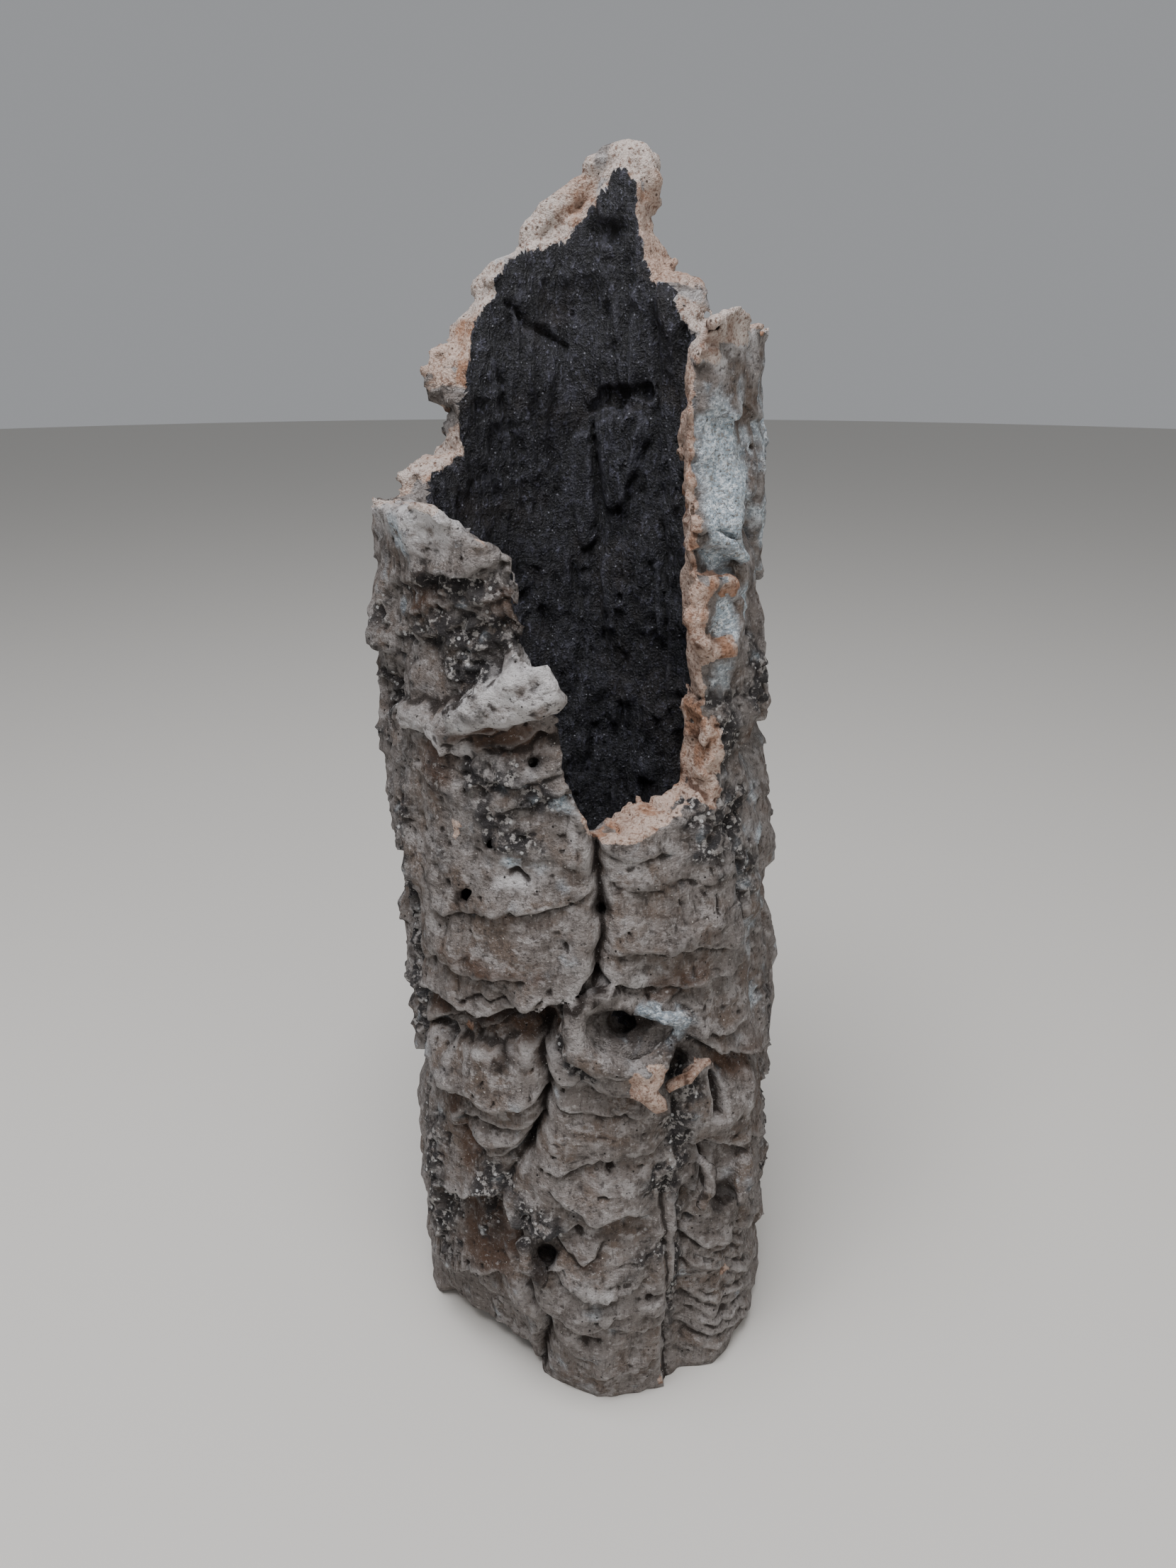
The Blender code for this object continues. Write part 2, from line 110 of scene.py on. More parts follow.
# Ledges, proud above the line and hollowed below it: (line, proud, hollow, reach up, reach down)
LEDGES = [
    # The long lip under the second tier
    ([(-65, 188), (-52, 193), (-41, 192), (-33, 192.5), (-27, 195), (-20, 200), (-11, 203.5), (-6, 207.5),
      (2, 216.5)], 5.0, 6.0, 32, 11),
    # The drape and the lips down the second tier
    ([(-66, 301), (-58, 299), (-45, 301), (-39, 295.5), (-33, 295)], 2.2, 2.8, 9, 8),
    ([(-36, 293), (-27, 296), (-20, 298.5), (-13, 302.5), (-5, 306)], 2.2, 2.6, 6, 7),
    ([(-32, 284), (-21, 287.5), (-13, 291), (-3, 294)], 1.5, 2.0, 7, 5),
    ([(-23, 276), (-14, 280.5), (-7, 284.5), (0, 287)], 1.8, 2.4, 8, 5),
    ([(-47, 232), (-36, 233.5), (-26, 238.5), (-18, 240.5), (-4, 246), (2, 247)], 1.8, 2.4, 12, 8),
    ([(-58, 205), (-45, 211), (-33, 210), (-26, 211.5), (-17, 215)], 1.8, 2.6, 10, 7),
    # Lips of the left lobe under the broken rim
    ([(-68, 347), (-50, 352), (-40, 357), (-30, 358), (-14, 363)], 1.5, 2.6, 10, 7),
    ([(-58, 338), (-39, 344), (-29, 347), (-16, 351)], 1.3, 2.2, 8, 6),
    ([(-48, 332), (-32, 337), (-19, 341), (-13, 340)], 1.2, 2.0, 6, 5),
    # Folds of the lower left lobe
    ([(-63, 140), (-43, 149), (-30, 153), (-20, 155.5), (-12, 158.5)], 2.6, 3.6, 22, 6),
    ([(-47, 131), (-36, 141), (-28, 142), (-21, 143), (-13, 148.5)], 2.0, 3.2, 8, 5),
    ([(-48, 128), (-39, 131), (-34, 129.5), (-27, 131.5), (-20, 136), (-16, 142)], 2.2, 3.6, 8, 6),
    ([(-39, 125.5), (-32, 123), (-26, 127), (-19, 133)], 1.6, 3.0, 6, 6),
    # The slanting crust over the brown hollow at the lower left
    ([(-60, 87), (-49, 94), (-41, 97.5), (-34, 104.5), (-29, 104), (-25, 98.5), (-21, 95), (-13, 95.5),
      (-7, 99)], 3.8, 8.0, 12, 15),
    ([(-76, 40), (-69, 36), (-64, 32.5), (-47, 47.5), (-30, 58)], 2.6, 3.4, 7, 12),
    # Folds of the front lobe
    ([(-14, 124), (-7, 128.5), (-1, 131), (8, 133.5), (21, 133.5)], 2.2, 2.6, 11, 10),
    ([(-12, 118), (-7, 115.5), (-4, 111), (-1, 107.5), (2, 105.5), (5, 108), (10, 107), (16, 102)],
     3.6, 4.6, 11, 8),
    ([(-15, 98), (-10, 91.5), (-7, 87.5), (-3, 86.5), (1, 90), (4, 97)], 1.8, 2.2, 10, 5),
    ([(-12, 76), (-7, 72.5), (-2, 70), (2, 69.5), (8, 70), (16, 73)], 3.0, 3.6, 8, 7),
    ([(-24, 80), (-21, 75.5), (-16, 73.5), (-12, 76), (-8, 81)], 2.4, 1.8, 6, 4),
    ([(-15, 53), (-11, 49), (-6, 47), (-1, 46.5), (4, 50), (9, 56)], 2.4, 4.6, 8, 8),
    ([(7, 45), (14, 41.5), (20, 42.5), (25, 45)], 1.6, 2.2, 8, 5),
    ([(-1, 15), (8, 17.5), (14, 20), (21, 22)], 1.4, 1.8, 8, 5),
    # The sheet under the knot
    ([(-13, 158), (-6, 154.5), (-1, 152.5), (7, 152.5), (15, 153)], 1.4, 2.4, 9, 6),
    # Wrinkles and lips of the upper right lobe
    ([(3, 214.5), (6, 213.5), (10, 211), (15, 208), (19, 205)], 3.4, 4.2, 13, 8),
    ([(4, 264), (11, 259.5), (16, 259.5), (28, 260)], 1.0, 1.6, 8, 4),
    ([(10, 249), (20, 246), (32, 248), (48, 243)], 0.9, 1.4, 8, 5),
    ([(6, 225), (18, 224), (27, 222), (37, 217.5), (54, 213)], 1.4, 2.0, 12, 7),
    ([(23, 206), (32, 201), (42, 201), (54, 199)], 2.2, 2.8, 10, 7),
    ([(29, 180), (38, 178.5), (47, 175.5), (56, 178)], 2.6, 3.6, 14, 7),
    # Steps down the right side
    ([(34, 175), (43, 166), (49, 162.5), (58, 158.5), (80, 144.5)], 3.6, 6.0, 8, 10),
    ([(31, 129), (43, 122), (54, 115.5), (70, 104)], 3.2, 4.6, 22, 7),
    ([(28, 90), (33, 77), (37, 71.5), (46, 70), (59, 64.5), (80, 50)], 2.4, 2.6, 16, 8),
    ([(26, 71), (39, 53.5), (49, 47.5), (72, 30)], 0.9, 1.3, 10, 7),
    ([(28, 50), (40, 36.5), (50, 31.5), (70, 18)], 0.8, 1.2, 9, 6),
    ([(28, 28), (41, 19.5), (51, 15.5), (64, 7.5)], 0.8, 1.2, 8, 5),
    # Lips of the right column
    ([(34, 374.5), (39, 374.5), (44, 373), (53, 369)], 2.0, 3.0, 12, 4),
    ([(35, 367.5), (42, 367), (47, 365.5), (55, 361)], 2.2, 4.0, 8, 5),
    ([(40, 412), (50, 409), (62, 412), (76, 406), (90, 411)], 0.9, 1.6, 12, 8),
    ([(58, 292), (66, 288), (76, 290), (88, 296)], 3.0, 6.5, 20, 12),
    # Tiers round the left side and the back
    ([(-128, 338), (-112, 330), (-96, 333), (-82, 326), (-72, 322)], 2.4, 3.0, 26, 14),
    ([(-136, 248), (-122, 256), (-106, 250), (-92, 243), (-76, 246), (-68, 240)], 3.4, 5.0, 30, 16),
    ([(-130, 150), (-116, 143), (-100, 148), (-86, 140), (-70, 147)], 3.6, 7.0, 24, 14),
    ([(-142, 66), (-124, 72), (-108, 64), (-92, 70), (-80, 62)], 3.0, 6.0, 22, 14),
    ([(84, 352), (98, 344), (112, 350), (128, 342)], 3.4, 6.5, 26, 14),
    ([(78, 226), (92, 232), (108, 222), (124, 228), (138, 220)], 4.2, 8.5, 28, 16),
    ([(82, 122), (96, 116), (112, 124), (128, 117)], 3.6, 7.0, 24, 14),
    ([(80, 44), (98, 50), (116, 42), (130, 47)], 2.8, 5.0, 20, 12),
    ([(142, 392), (156, 400), (170, 392), (184, 398), (200, 390)], 3.0, 5.0, 24, 12),
    ([(146, 292), (160, 300), (176, 294), (192, 302), (210, 296)], 4.0, 8.0, 30, 16),
    ([(140, 176), (156, 168), (172, 176), (188, 170), (206, 178)], 4.0, 8.0, 26, 16),
    ([(144, 84), (160, 92), (178, 84), (196, 90), (214, 82)], 3.4, 6.0, 24, 14),
]

# Shelves, where the bark above the line stands further in: (line, step, reach up)
SHELVES = [
    ([(-80, 298), (-73, 301), (-61, 305.5), (-46, 307), (-40, 310.5), (-35, 312.5), (-32, 316.5),
      (-27, 322), (-20, 327), (-14, 333), (-8, 336)], 6.5, 70),
    ([(-17, 266), (-8, 268.5), (-3, 269), (-0.5, 271), (3, 270)], 2.2, 12),
]

# Raised and sunken areas with a clear outline: (outline, rise, softness of the edge)
PATCHES = [
    # The flap on the second tier, the strata under it and their slit
    ([(-34, 307), (-34, 313), (-32, 316.5), (-27, 322), (-20, 327), (-14, 333), (-9, 337), (2, 333), (2, 323),
      (-4, 322), (-11, 318), (-19, 314), (-27, 310)], 1.6, 2.2),
    ([(-38, 301), (-21, 307), (0, 316), (0, 305), (-14, 300.5), (-24, 297), (-36, 293)], -2.6, 2.0),
    ([(-26, 297.5), (-23, 300.5), (-13, 303), (-17, 300), (-22, 297)], -3.0, 1.2),
    # The cave under the second tier, and the notch in the sheet below it
    ([(-56, 175), (-50, 180), (-40, 182), (-32, 184), (-24, 189), (-13, 194), (-5, 197), (-8, 188),
      (-13, 183), (-19, 180), (-26, 177), (-34, 175), (-45, 171)], -5.5, 2.6),
    # The swelling that carries the knot
    ([(-2.5, 205), (1, 209), (5, 209), (12, 206), (22, 200), (27, 192), (25, 180), (21, 166), (18, 161),
      (13, 160), (8, 166), (2, 172), (-4, 182), (-6, 194)], 4.0, 6.0),
    ([(38, 158), (40.5, 158), (42, 149), (40.5, 142), (38, 143), (38.5, 150)], -6.0, 1.4),
    ([(-13, 181), (-9, 183), (-6, 179), (-3, 170), (-4, 167), (-8.5, 169), (-11, 173)], 1.8, 1.2),
    # The ringed knob on the right column and its dish
    ([(34.5, 357), (39, 361), (46, 358), (50, 350), (49, 340), (44, 334), (37, 334), (33, 340), (32, 348)],
     1.5, 3.0),
]

# Seams and cracks, or ridges where the depth is negative: (line, half width, depth)
SEAMS = [
    ([(4, 268), (4.5, 255), (5.5, 240), (5.5, 232), (4.5, 222), (3, 211)], 2.4, 7.5),
    ([(-13, 186), (-14, 180), (-13, 171), (-12.5, 160), (-14.5, 153), (-16.5, 144), (-18.5, 137),
      (-21, 129)], 2.8, 8.0),
    ([(-21, 129), (-26, 116), (-30, 104)], 2.4, 4.0),
    ([(-24, 88), (-25, 76), (-22, 66), (-19.5, 56), (-17, 47), (-16, 38), (-18, 22), (-20, 4)], 3.2, 7.0),
    ([(-37, 197), (-31, 199.5), (-25, 200.5), (-19, 202), (-14.5, 203), (-11, 208)], 0.9, 2.6),
    ([(-62, 232), (-60, 206), (-63, 188), (-61, 168), (-66, 140)], 2.8, 6.0),
    ([(33, 124), (35, 118), (36.5, 110), (35.5, 104), (33, 101)], 1.8, -3.4),
    ([(22, 108), (22.5, 86), (23, 70), (23.5, 58), (25, 44), (27, 26), (28, 2)], 1.6, 3.2),
    ([(36, 128), (37, 110), (40, 98), (46, 88)], 2.8, 5.0),
    ([(27, 172), (25, 148), (26, 128)], 1.8, 3.0),
    ([(48, 262), (52, 244), (54, 226), (52, 206)], 1.2, 2.4),
    ([(-104, 372), (-98, 340), (-106, 296), (-99, 262)], 3.2, 6.5),
    ([(-84, 236), (-90, 204), (-82, 172), (-89, 146)], 3.2, 7.0),
    ([(-136, 236), (-128, 196), (-135, 158), (-130, 120)], 3.4, 7.0),
    ([(-100, 132), (-94, 96), (-101, 60), (-97, 18)], 3.2, 6.5),
    ([(-158, 440), (-154, 392), (-161, 350), (-156, 306)], 3.4, 7.0),
    ([(-170, 288), (-163, 240), (-171, 196), (-166, 130), (-172, 92)], 3.6, 8.0),
    ([(76, 430), (71, 384), (78, 330), (73, 296)], 3.2, 6.5),
    ([(102, 414), (108, 372), (101, 330), (107, 286), (100, 240)], 3.6, 8.0),
    ([(134, 436), (128, 380), (136, 320), (129, 262), (134, 232)], 3.4, 7.0),
    ([(114, 214), (121, 170), (113, 128), (119, 84), (112, 30)], 3.6, 7.5),
    ([(84, 206), (90, 168), (83, 132)], 3.2, 6.5),
    ([(150, 162), (158, 124), (151, 96)], 3.2, 6.5),
    ([(162, 470), (168, 430), (160, 402)], 3.0, 5.5),
]

# Round swellings, and hollows where the rise is negative: (bearing, height, half width, half height, rise)
MOUNDS = [
    (1, 66, 28, 74, 5.0),         # the front lobe
    (1, 118, 20, 12, 2.4),        # its draped fold
    (-34, 166, 32, 22, 4.0),      # the lower left lobe
    (-25, 240, 44, 44, 3.0),      # the second tier
    (30, 240, 40, 34, 2.5),       # the upper right lobe
    (50, 140, 18, 16, 5.0),       # the smooth lobe at the right
    (-38, 72, 22, 20, -6.0),      # the brown hollow at the lower left
    (-48, 18, 34, 26, -8.0),      # the foot drawn in under the left front
    (33, 50, 8, 60, -2.0),        # the band beside the front lobe
    (43, 350, 14, 20, 3.0),       # the knob on the right column
    (68, 288, 10, 14, -6.0),      # the hollow on the right edge
    (66, 372, 8, 8, -6.0),        # the notch at the right of the column
    (-75, 326, 8, 12, 3.0),       # the scab on the left edge
    (-84, 306, 18, 34, 4.5),      # the fuller left side of the two upper tiers
    (-80, 222, 14, 20, 2.5),      # and of the second tier
    (-150, 210, 26, 30, 5.0),     # a burl at the back
    (-150, 208, 10, 12, -6.0),    # its dished middle
    (96, 186, 22, 26, 4.5),       # a swelling at the right
    (178, 344, 26, 34, 4.0),      # a swelling at the back
]

# Small holes: (bearing, height, half width, half height, depth)
HOLES = [
    (-40, 245, 2.4, 2.2, 4.0), (-17.5, 254, 5.0, 1.4, 4.0), (-5, 228, 1.3, 2.2, 3.0),
    (-58, 328, 3.2, 1.6, 4.0), (0.5, 174.5, 1.2, 1.0, 3.0), (3, 164, 1.3, 1.3, 4.0),
    (5, 126, 1.8, 2.6, 5.0), (3.5, 117.5, 2.2, 0.9, 3.0), (18.5, 61.5, 3.4, 1.3, 5.0),
    (-0.5, 36, 7.0, 2.4, 3.0), (-47.5, 52.5, 1.6, 1.6, 4.0), (-60, 60, 1.4, 1.6, 3.0),
    (74, 10, 3.0, 4.0, 5.0), (29.5, 99.5, 3.2, 3.4, 5.0), (32, 84.5, 4.0, 3.0, 5.0),
    (55, 355, 3.0, 2.0, 3.0), (-19, 98.5, 2.6, 2.4, 5.0), (-80, 71, 2.4, 2.8, 4.0),
    (-33.5, 157.5, 1.4, 2.0, 2.4), (-17, 160.5, 1.0, 1.2, 2.4), (-4, 97, 3.0, 2.6, 3.6),
    (40, 236, 1.0, 5.0, 3.0), (14, 255, 3.0, 0.8, 1.6),
]

# Limbs, which are chains of balls that stand out of the bark, with the finish that they carry:
# (finish, [(bearing, height, how far out the ball's middle is, its radius)])
LIMBS = [
    # The knot: its collar round the mouth, the body under it, the lichened ridge, the torn beak and strip
    ("", [(7, 207, 4, 3), (1.5, 206.5, 5, 3.6), (-3, 202, 6, 4.4), (-4.5, 194, 7.5, 4.8),
          (-2.5, 186, 8.5, 5)]),
    ("", [(-2.5, 186, 8.5, 5), (2, 180.5, 9.5, 4.8), (8, 178, 10, 4.4), (14, 178, 9.5, 4),
          (19, 181, 8.5, 3.6)]),
    ("", [(1.5, 174, 3, 6), (7, 171, 5, 6.5), (12, 168, 6.5, 5.5)]),
    ("fresh", [(13, 175, 11, 3.8), (17, 176, 10, 3.6), (13.5, 169, 11.5, 4.8), (16.5, 161.5, 11.5, 3.2)]),
    ("lichen", [(15.5, 198, 4, 2.6), (19.5, 196.5, 8, 3), (25, 194, 9, 2.6)]),
    ("crust", [(25, 195.5, 9, 3), (23, 188, 8.5, 3), (19, 181, 8, 3)]),
    ("fresh", [(22.5, 161.5, 3, 2), (28, 166, 4.5, 2.3), (34.5, 168.5, 4, 2)]),
    # The flap on the second tier
    ("bleached", [(-31, 311, 2.5, 4.5), (-22, 318.5, 3, 5), (-14, 326, 3, 5), (-8, 328, 2, 4.5),
                  (-5, 321, 1, 4.5)]),
    ("bleached", [(-32, 307.5, 3, 4), (-20, 313.5, 3.5, 4.6), (-11, 318, 3, 4.6), (-6, 318.5, 1.5, 4.5)]),
    # The torn ring round the dish on the right column, and the torn flakes over it
    ("fresh", [(36, 353, 2, 2.6), (40, 357, 3, 2.8), (46.5, 355, 3, 2.6)]),
    ("", [(46.5, 355, 3, 2.6), (51, 347.5, 3, 2.6), (50.5, 338.5, 3, 2.6), (45.5, 332.5, 3, 3)]),
    ("fresh", [(45.5, 332.5, 3, 3), (39, 331.5, 3, 3), (35, 337.5, 2.5, 3), (34, 346, 2, 2.8),
               (36, 353, 2, 2.6)]),
    ("", [(36.5, 371, 1.5, 2), (40.5, 372, 2.5, 2.2), (47.5, 368, 3, 2.2), (54.5, 362.5, 3, 2.2)]),
    # The lip round the slanted hole, the nose at the right and the curled lip beside it
    ("", [(-20, 88, 4, 3), (-19, 79, 5.5, 3.2), (-15, 73, 6, 3.2)]),
    ("", [(52, 108, 3, 5), (50, 100, 5, 5), (47, 94, 6, 3.6)]),
    ("", [(33.5, 121, 3, 2.4), (36, 114.5, 4, 2.6), (36, 107.5, 4.5, 2.6), (33.5, 101, 4, 2.2)]),
    # Knuckles of torn cork along the broken rim at the back, and the ear at its left
    ("", [(168.5, 497, -7, 4.2), (163.5, 500.5, -6, 4.6), (157, 502, -6, 5), (150.5, 498.5, -6, 4.6),
          (148, 491, -6, 4)]),
    ("", [(171.5, 490.5, -6, 4), (178, 485, -6, 5.5), (-175, 479, -6, 5.5), (-169.5, 472, -6, 5)]),
    ("", [(-157, 458, -5, 5), (-153.5, 452, -4, 4.8), (-154, 447, -5, 3.5)]),
    ("", [(-149, 443, -5, 3.6), (-144.5, 437.5, -4, 4.4), (-142, 431.5, -4, 4), (-137, 429, -3, 4)]),
    ("", [(-140, 429.5, -4, 3.2), (-134, 426.5, -2, 3), (-131, 420, -1, 3), (-132, 413.5, -1.5, 3.4),
          (-136, 409.5, -4, 3)]),
    ("", [(141, 453.5, -5, 3.2), (135.5, 453.5, -3, 3.4), (131, 451.5, -2, 3.6), (129, 446.5, -2, 3)]),
    ("", [(143, 459, -4, 1.8), (140, 462, -3, 1.5)]),
    ("", [(-114, 380, -3, 3.8), (-121, 383, -5, 3.2)]),
]

# Bores, cut into the bark in the same way: [(bearing, height, how far out, radius)]
BORES = [
    [(5.5, 196.5, 12, 7), (14.5, 193, 12, 6.8)],                        # the mouth of the knot
    [(6.5, 194, 3, 6.4), (13.5, 191, 3, 6.4)],
    [(10, 190, -5, 6), (12, 188, -8, 4.5)],
    [(24, 175, 7, 5.4), (26, 168, -4, 5.4)],                            # the hole beside the beak
    [(22.5, 170, 4, 4.2), (29.5, 174, 4, 4.4)],
    [(-13.5, 92, 8, 4.2), (-13.5, 84, 3, 4.4), (-15, 77, -5, 4)],       # the slanted hole
    [(40, 106, 7, 4), (45, 93, 1, 5.5)],                                # the pocket at the right
    [(-30, 184, 6, 4.5), (-18, 189, 5, 4.6), (-10, 193.5, 3, 3.6)],     # the cave under the second tier
    [(-25, 180, 4, 3), (-25.5, 173, 4, 2.4)],                           # the notch in the sheet below it
    [(-24, 264.5, 3, 1.9), (-28, 260, -6, 1.9)],                        # holes in the second tier
    [(-33.5, 241, 3, 2.8), (-40, 237, -6, 2.8)],
    [(-10, 297, 3, 1.8), (-13, 294, -6, 1.8)],
    [(-1, 228, 3, 1.6), (-1.5, 224, -5, 1.6)],
    [(5, 242, 2, 2.8), (5.5, 237, -8, 2.8)],                            # the hole in the long seam
    [(-139, 421, 2, 3.4), (-137, 420, -3, 3)],                           # the hollow of the ear
    [(36, 361.5, 2, 2.2), (42.5, 360.5, 2, 2.6), (50.5, 359.5, 2, 2.2)],    # the tear under the flakes
    [(-44, 370.5, 2, 1.3), (-40, 371.5, 2, 1.5), (-34.5, 371, 2, 1.2)],     # slits of the upper tier
    [(39.5, 438, 1, 1), (52, 438, 1, 1)],                               # slits at the top of the column
    [(39, 432.5, 1, 1.3), (50, 433, 1, 1.5)],
]

# Ribs and flutes: (bearing, height, half width, half height, spacing, turn in degrees, rise)
RIBS = [
    (1, 75, 27, 7, 2.7, 4, 0.55),         # flutes on the front lobe's lip
    (-58, 47, 24, 12, 3.0, 8, 1.0),       # the comb at the left foot
    (-64, 350, 14, 22, 5.5, 6, 0.5),      # peeling strips on the left lobe
    (-40, 230, 20, 60, 9.0, 10, 0.6),
    (30, 240, 34, 26, 2.4, 16, 0.35),     # slanting flutes of the upper right lobe
    (52, 60, 24, 20, 5.5, 62, 1.0),       # ribs down the lower right
    (52, 26, 26, 22, 6.0, 70, 1.1),
    (-30, 168, 26, 14, 2.2, 0, 0.35),
    (46, 140, 16, 14, 2.4, 0, 0.35),
]

# The charred wall inside: plates, ridges and cracks that stand out towards the hollow
CHAR_PATCHES = [
    ([(168.5, 401), (155.5, 403), (152, 407), (145.5, 406), (144, 396), (149, 382), (157, 366), (166, 368),
      (169, 388)], 3.2, 0.7),
    ([(171, 405), (157, 406), (152, 412), (143, 411), (144, 416), (158, 415), (170, 410)], -3.6, 0.8),
    ([(171, 398), (170, 350), (176, 346), (180, 372), (178, 396)], 2.2, 0.7),
]
CHAR_SEAMS = [
    ([(-157, 446), (-164, 440), (-173, 434), (-181, 429)], 1.4, 3.6),
    ([(150, 452), (151, 411)], 3.0, -3.0),
    ([(158, 446), (156, 416)], 2.2, -2.2),
    ([(148, 398), (155, 366)], 2.6, -2.4),
    ([(169, 399), (169, 355), (168, 300)], 1.8, 3.0),
    ([(140, 440), (142, 396), (139, 330), (144, 280)], 2.6, 3.4),
    ([(-148, 418), (-152, 398), (-156, 380)], 1.6, -1.8),
    ([(-152, 420), (-157, 398), (-161, 382)], 1.6, 2.4),
    ([(180, 340), (176, 310), (182, 280)], 2.0, 3.0),
]
CHAR_MOUNDS = [
    (133, 444, 10, 12, 5.0), (158, 489, 9, 16, 2.5), (160, 474, 12, 3.5, -3.0), (172, 446, 16, 10, -2.5),
    (-168, 420, 20, 14, 2.5), (165, 330, 16, 20, 2.5), (150, 300, 12, 18, -3.0), (-170, 350, 18, 20, 2.0),
    (153, 247, 8, 6, 3.0),
]

# Where each finish lies: (bearing, height, half width, half height, strength)
CRUST = [
    (-36, 352, 26, 8, 0.9), (-24, 338, 16, 10, 1.0), (-44, 334, 22, 12, 0.8), (-30, 322, 20, 8, 1.0),
    (-58, 330, 14, 18, 0.6), (-24, 289, 18, 9, 0.8), (-10, 283, 12, 7, 0.9), (-24, 276, 14, 8, 0.8),
    (-44, 284, 12, 8, 0.6), (-18, 266, 20, 6, 0.6), (-38, 262, 14, 14, 0.35), (47, 300, 12, 22, 1.0),
    (44, 268, 22, 20, 1.0), (56, 244, 14, 20, 0.6), (32, 256, 16, 8, 0.4), (-7, 188, 4, 8, 0.9),
    (-3, 177, 7, 4, 0.8), (30, 186, 6, 9, 0.7), (25, 146, 9, 8, 0.8), (29, 158, 12, 9, 0.8),
    (27, 132, 7, 18, 0.9), (22, 116, 10, 10, 1.0), (-30, 112, 18, 12, 0.7), (-16, 98, 12, 10, 1.0),
    (-34, 96, 14, 8, 0.6), (14, 86, 14, 8, 0.5), (28, 60, 5, 46, 0.8), (-60, 90, 14, 50, 0.8),
    (-40, 80, 14, 16, 0.5), (-64, 200, 9, 90, 0.8), (-74, 300, 12, 50, 0.5), (66, 316, 12, 26, 0.7),
    (72, 180, 10, 50, 0.35), (-48, 168, 8, 8, 0.4),
    (-110, 300, 40, 50, 0.7), (-150, 350, 40, 60, 0.8), (120, 280, 40, 60, 0.7), (160, 210, 40, 60, 0.7),
    (100, 100, 40, 50, 0.7), (-100, 180, 40, 60, 0.7), (170, 60, 40, 40, 0.6), (-130, 70, 40, 40, 0.6),
]
LICHEN = [
    (47, 388, 13, 34, 0.9), (61, 390, 11, 24, 0.5), (52, 367, 13, 7, 0.7), (44.5, 344, 6, 9, 1.0),
    (58, 345, 8, 10, 0.7), (46, 322, 8, 8, 0.5), (-56, 368, 9, 7, 0.5), (-50, 299, 8, 4, 0.3),
    (-4, 282, 3, 3, 0.8), (-19, 259, 5, 3, 0.5), (-54, 160, 8, 10, 0.3), (60, 200, 10, 30, 0.35),
    (66, 260, 8, 30, 0.35),
    (90, 390, 30, 40, 0.6), (150, 440, 24, 30, 0.5), (-120, 350, 26, 24, 0.4), (110, 180, 24, 20, 0.4),
    (-160, 260, 24, 24, 0.4),
]
BROWN = [
    (-20, 303, 24, 6, 1.0), (-44, 290, 12, 12, 0.6), (-40, 185, 22, 6, 1.0), (-22, 188, 20, 6, 1.0),
    (-38, 76, 20, 22, 1.0), (-46, 346, 18, 12, 0.6), (-20, 346, 12, 12, 0.6), (56, 140, 16, 8, 0.4),
    (50, 158, 18, 7, 0.8), (-42, 122, 10, 12, 0.9), (-50, 140, 12, 8, 0.6), (-30, 216, 30, 5, 0.6),
    (-26, 238, 26, 5, 0.4), (30, 228, 24, 10, 0.4), (28, 208, 18, 8, 0.5), (64, 288, 10, 12, 0.9),
    (-60, 60, 20, 20, 0.4), (70, 130, 14, 12, 0.5), (66, 416, 10, 8, 0.4), (0, 88, 14, 6, 0.5),
]
FRESH = [
    (42, 437, 9, 12, 1.0), (54, 439, 14, 8, 0.9), (35.5, 408, 3, 34, 1.0), (36, 330, 3, 26, 0.9),
    (-36, 268, 3, 3, 0.7),
    (-41, 178, 6, 2, 0.6), (41, 296, 5, 14, 0.9), (40, 280, 6, 8, 0.8), (42, 334, 5, 6, 0.7),
    (50, 47, 3, 3, 0.7), (24, 20, 1.6, 20, 0.7), (-14, 194, 8, 2, 0.5),
]
# Painted shade in holes, caves, slots and the hollows under lips: (bearing, height, half width, half height,
# strength)
SHADED_HOLLOWS = [
    (10, 194, 8, 6, 1.0), (-15, 81, 4, 6, 1.0), (-40, 186, 18, 5, 0.7),
    (-22, 190, 16, 5, 0.8), (-25, 175, 3, 4, 0.8), (-36, 78, 12, 14, 0.5), (44, 93, 5, 7, 0.8),
    (40, 150, 2.4, 9, 1.0), (-20, 301, 14, 2, 0.8), (-28, 316, 16, 3, 0.5),
]
TORN = [
    (20, 272, 34, 14, 1.0), (40, 340, 14, 100, 1.0), (48, 438, 22, 16, 0.9), (95, 438, 60, 14, 0.9),
    (145, 480, 30, 50, 1.0), (-175, 480, 30, 40, 1.0), (-145, 430, 24, 40, 1.0), (-120, 386, 30, 14, 0.9),
    (-80, 382, 30, 12, 0.8), (-45, 384, 26, 10, 0.75), (-22, 376, 12, 10, 0.6),
]
BLEACHED = [
    (158, 500, 22, 22, 1.0), (-160, 465, 40, 30, 1.0), (-115, 388, 40, 12, 0.7), (-45, 384, 30, 12, 1.0),
    (-75, 380, 24, 12, 0.9), (50, 438, 22, 14, 1.0), (110, 440, 40, 12, 0.9), (-48, 375, 40, 9, 0.9),
    (-18, 320, 18, 9, 1.0), (-6, 328, 9, 8, 1.0), (-30, 312, 8, 6, 0.9), (-50, 301, 18, 5, 0.8),
    (-34, 298, 6, 6, 0.7), (-14, 292, 18, 3, 0.6), (2, 122, 20, 5, 0.35), (2, 75, 24, 5, 0.3),
    (-20, 254, 26, 6, 0.4), (12, 258, 18, 5, 0.4), (14, 210, 8, 4, 0.6), (48, 134, 14, 10, 0.3),
]

# Seeds of the random draws
PIT_SEED = 5
LEDGE_SEED = 8
CHAR_SEED = 14

# How many of each small form are scattered
PITS = 520
SMALL_LEDGES = 130
CHAR_SHELVES = 170

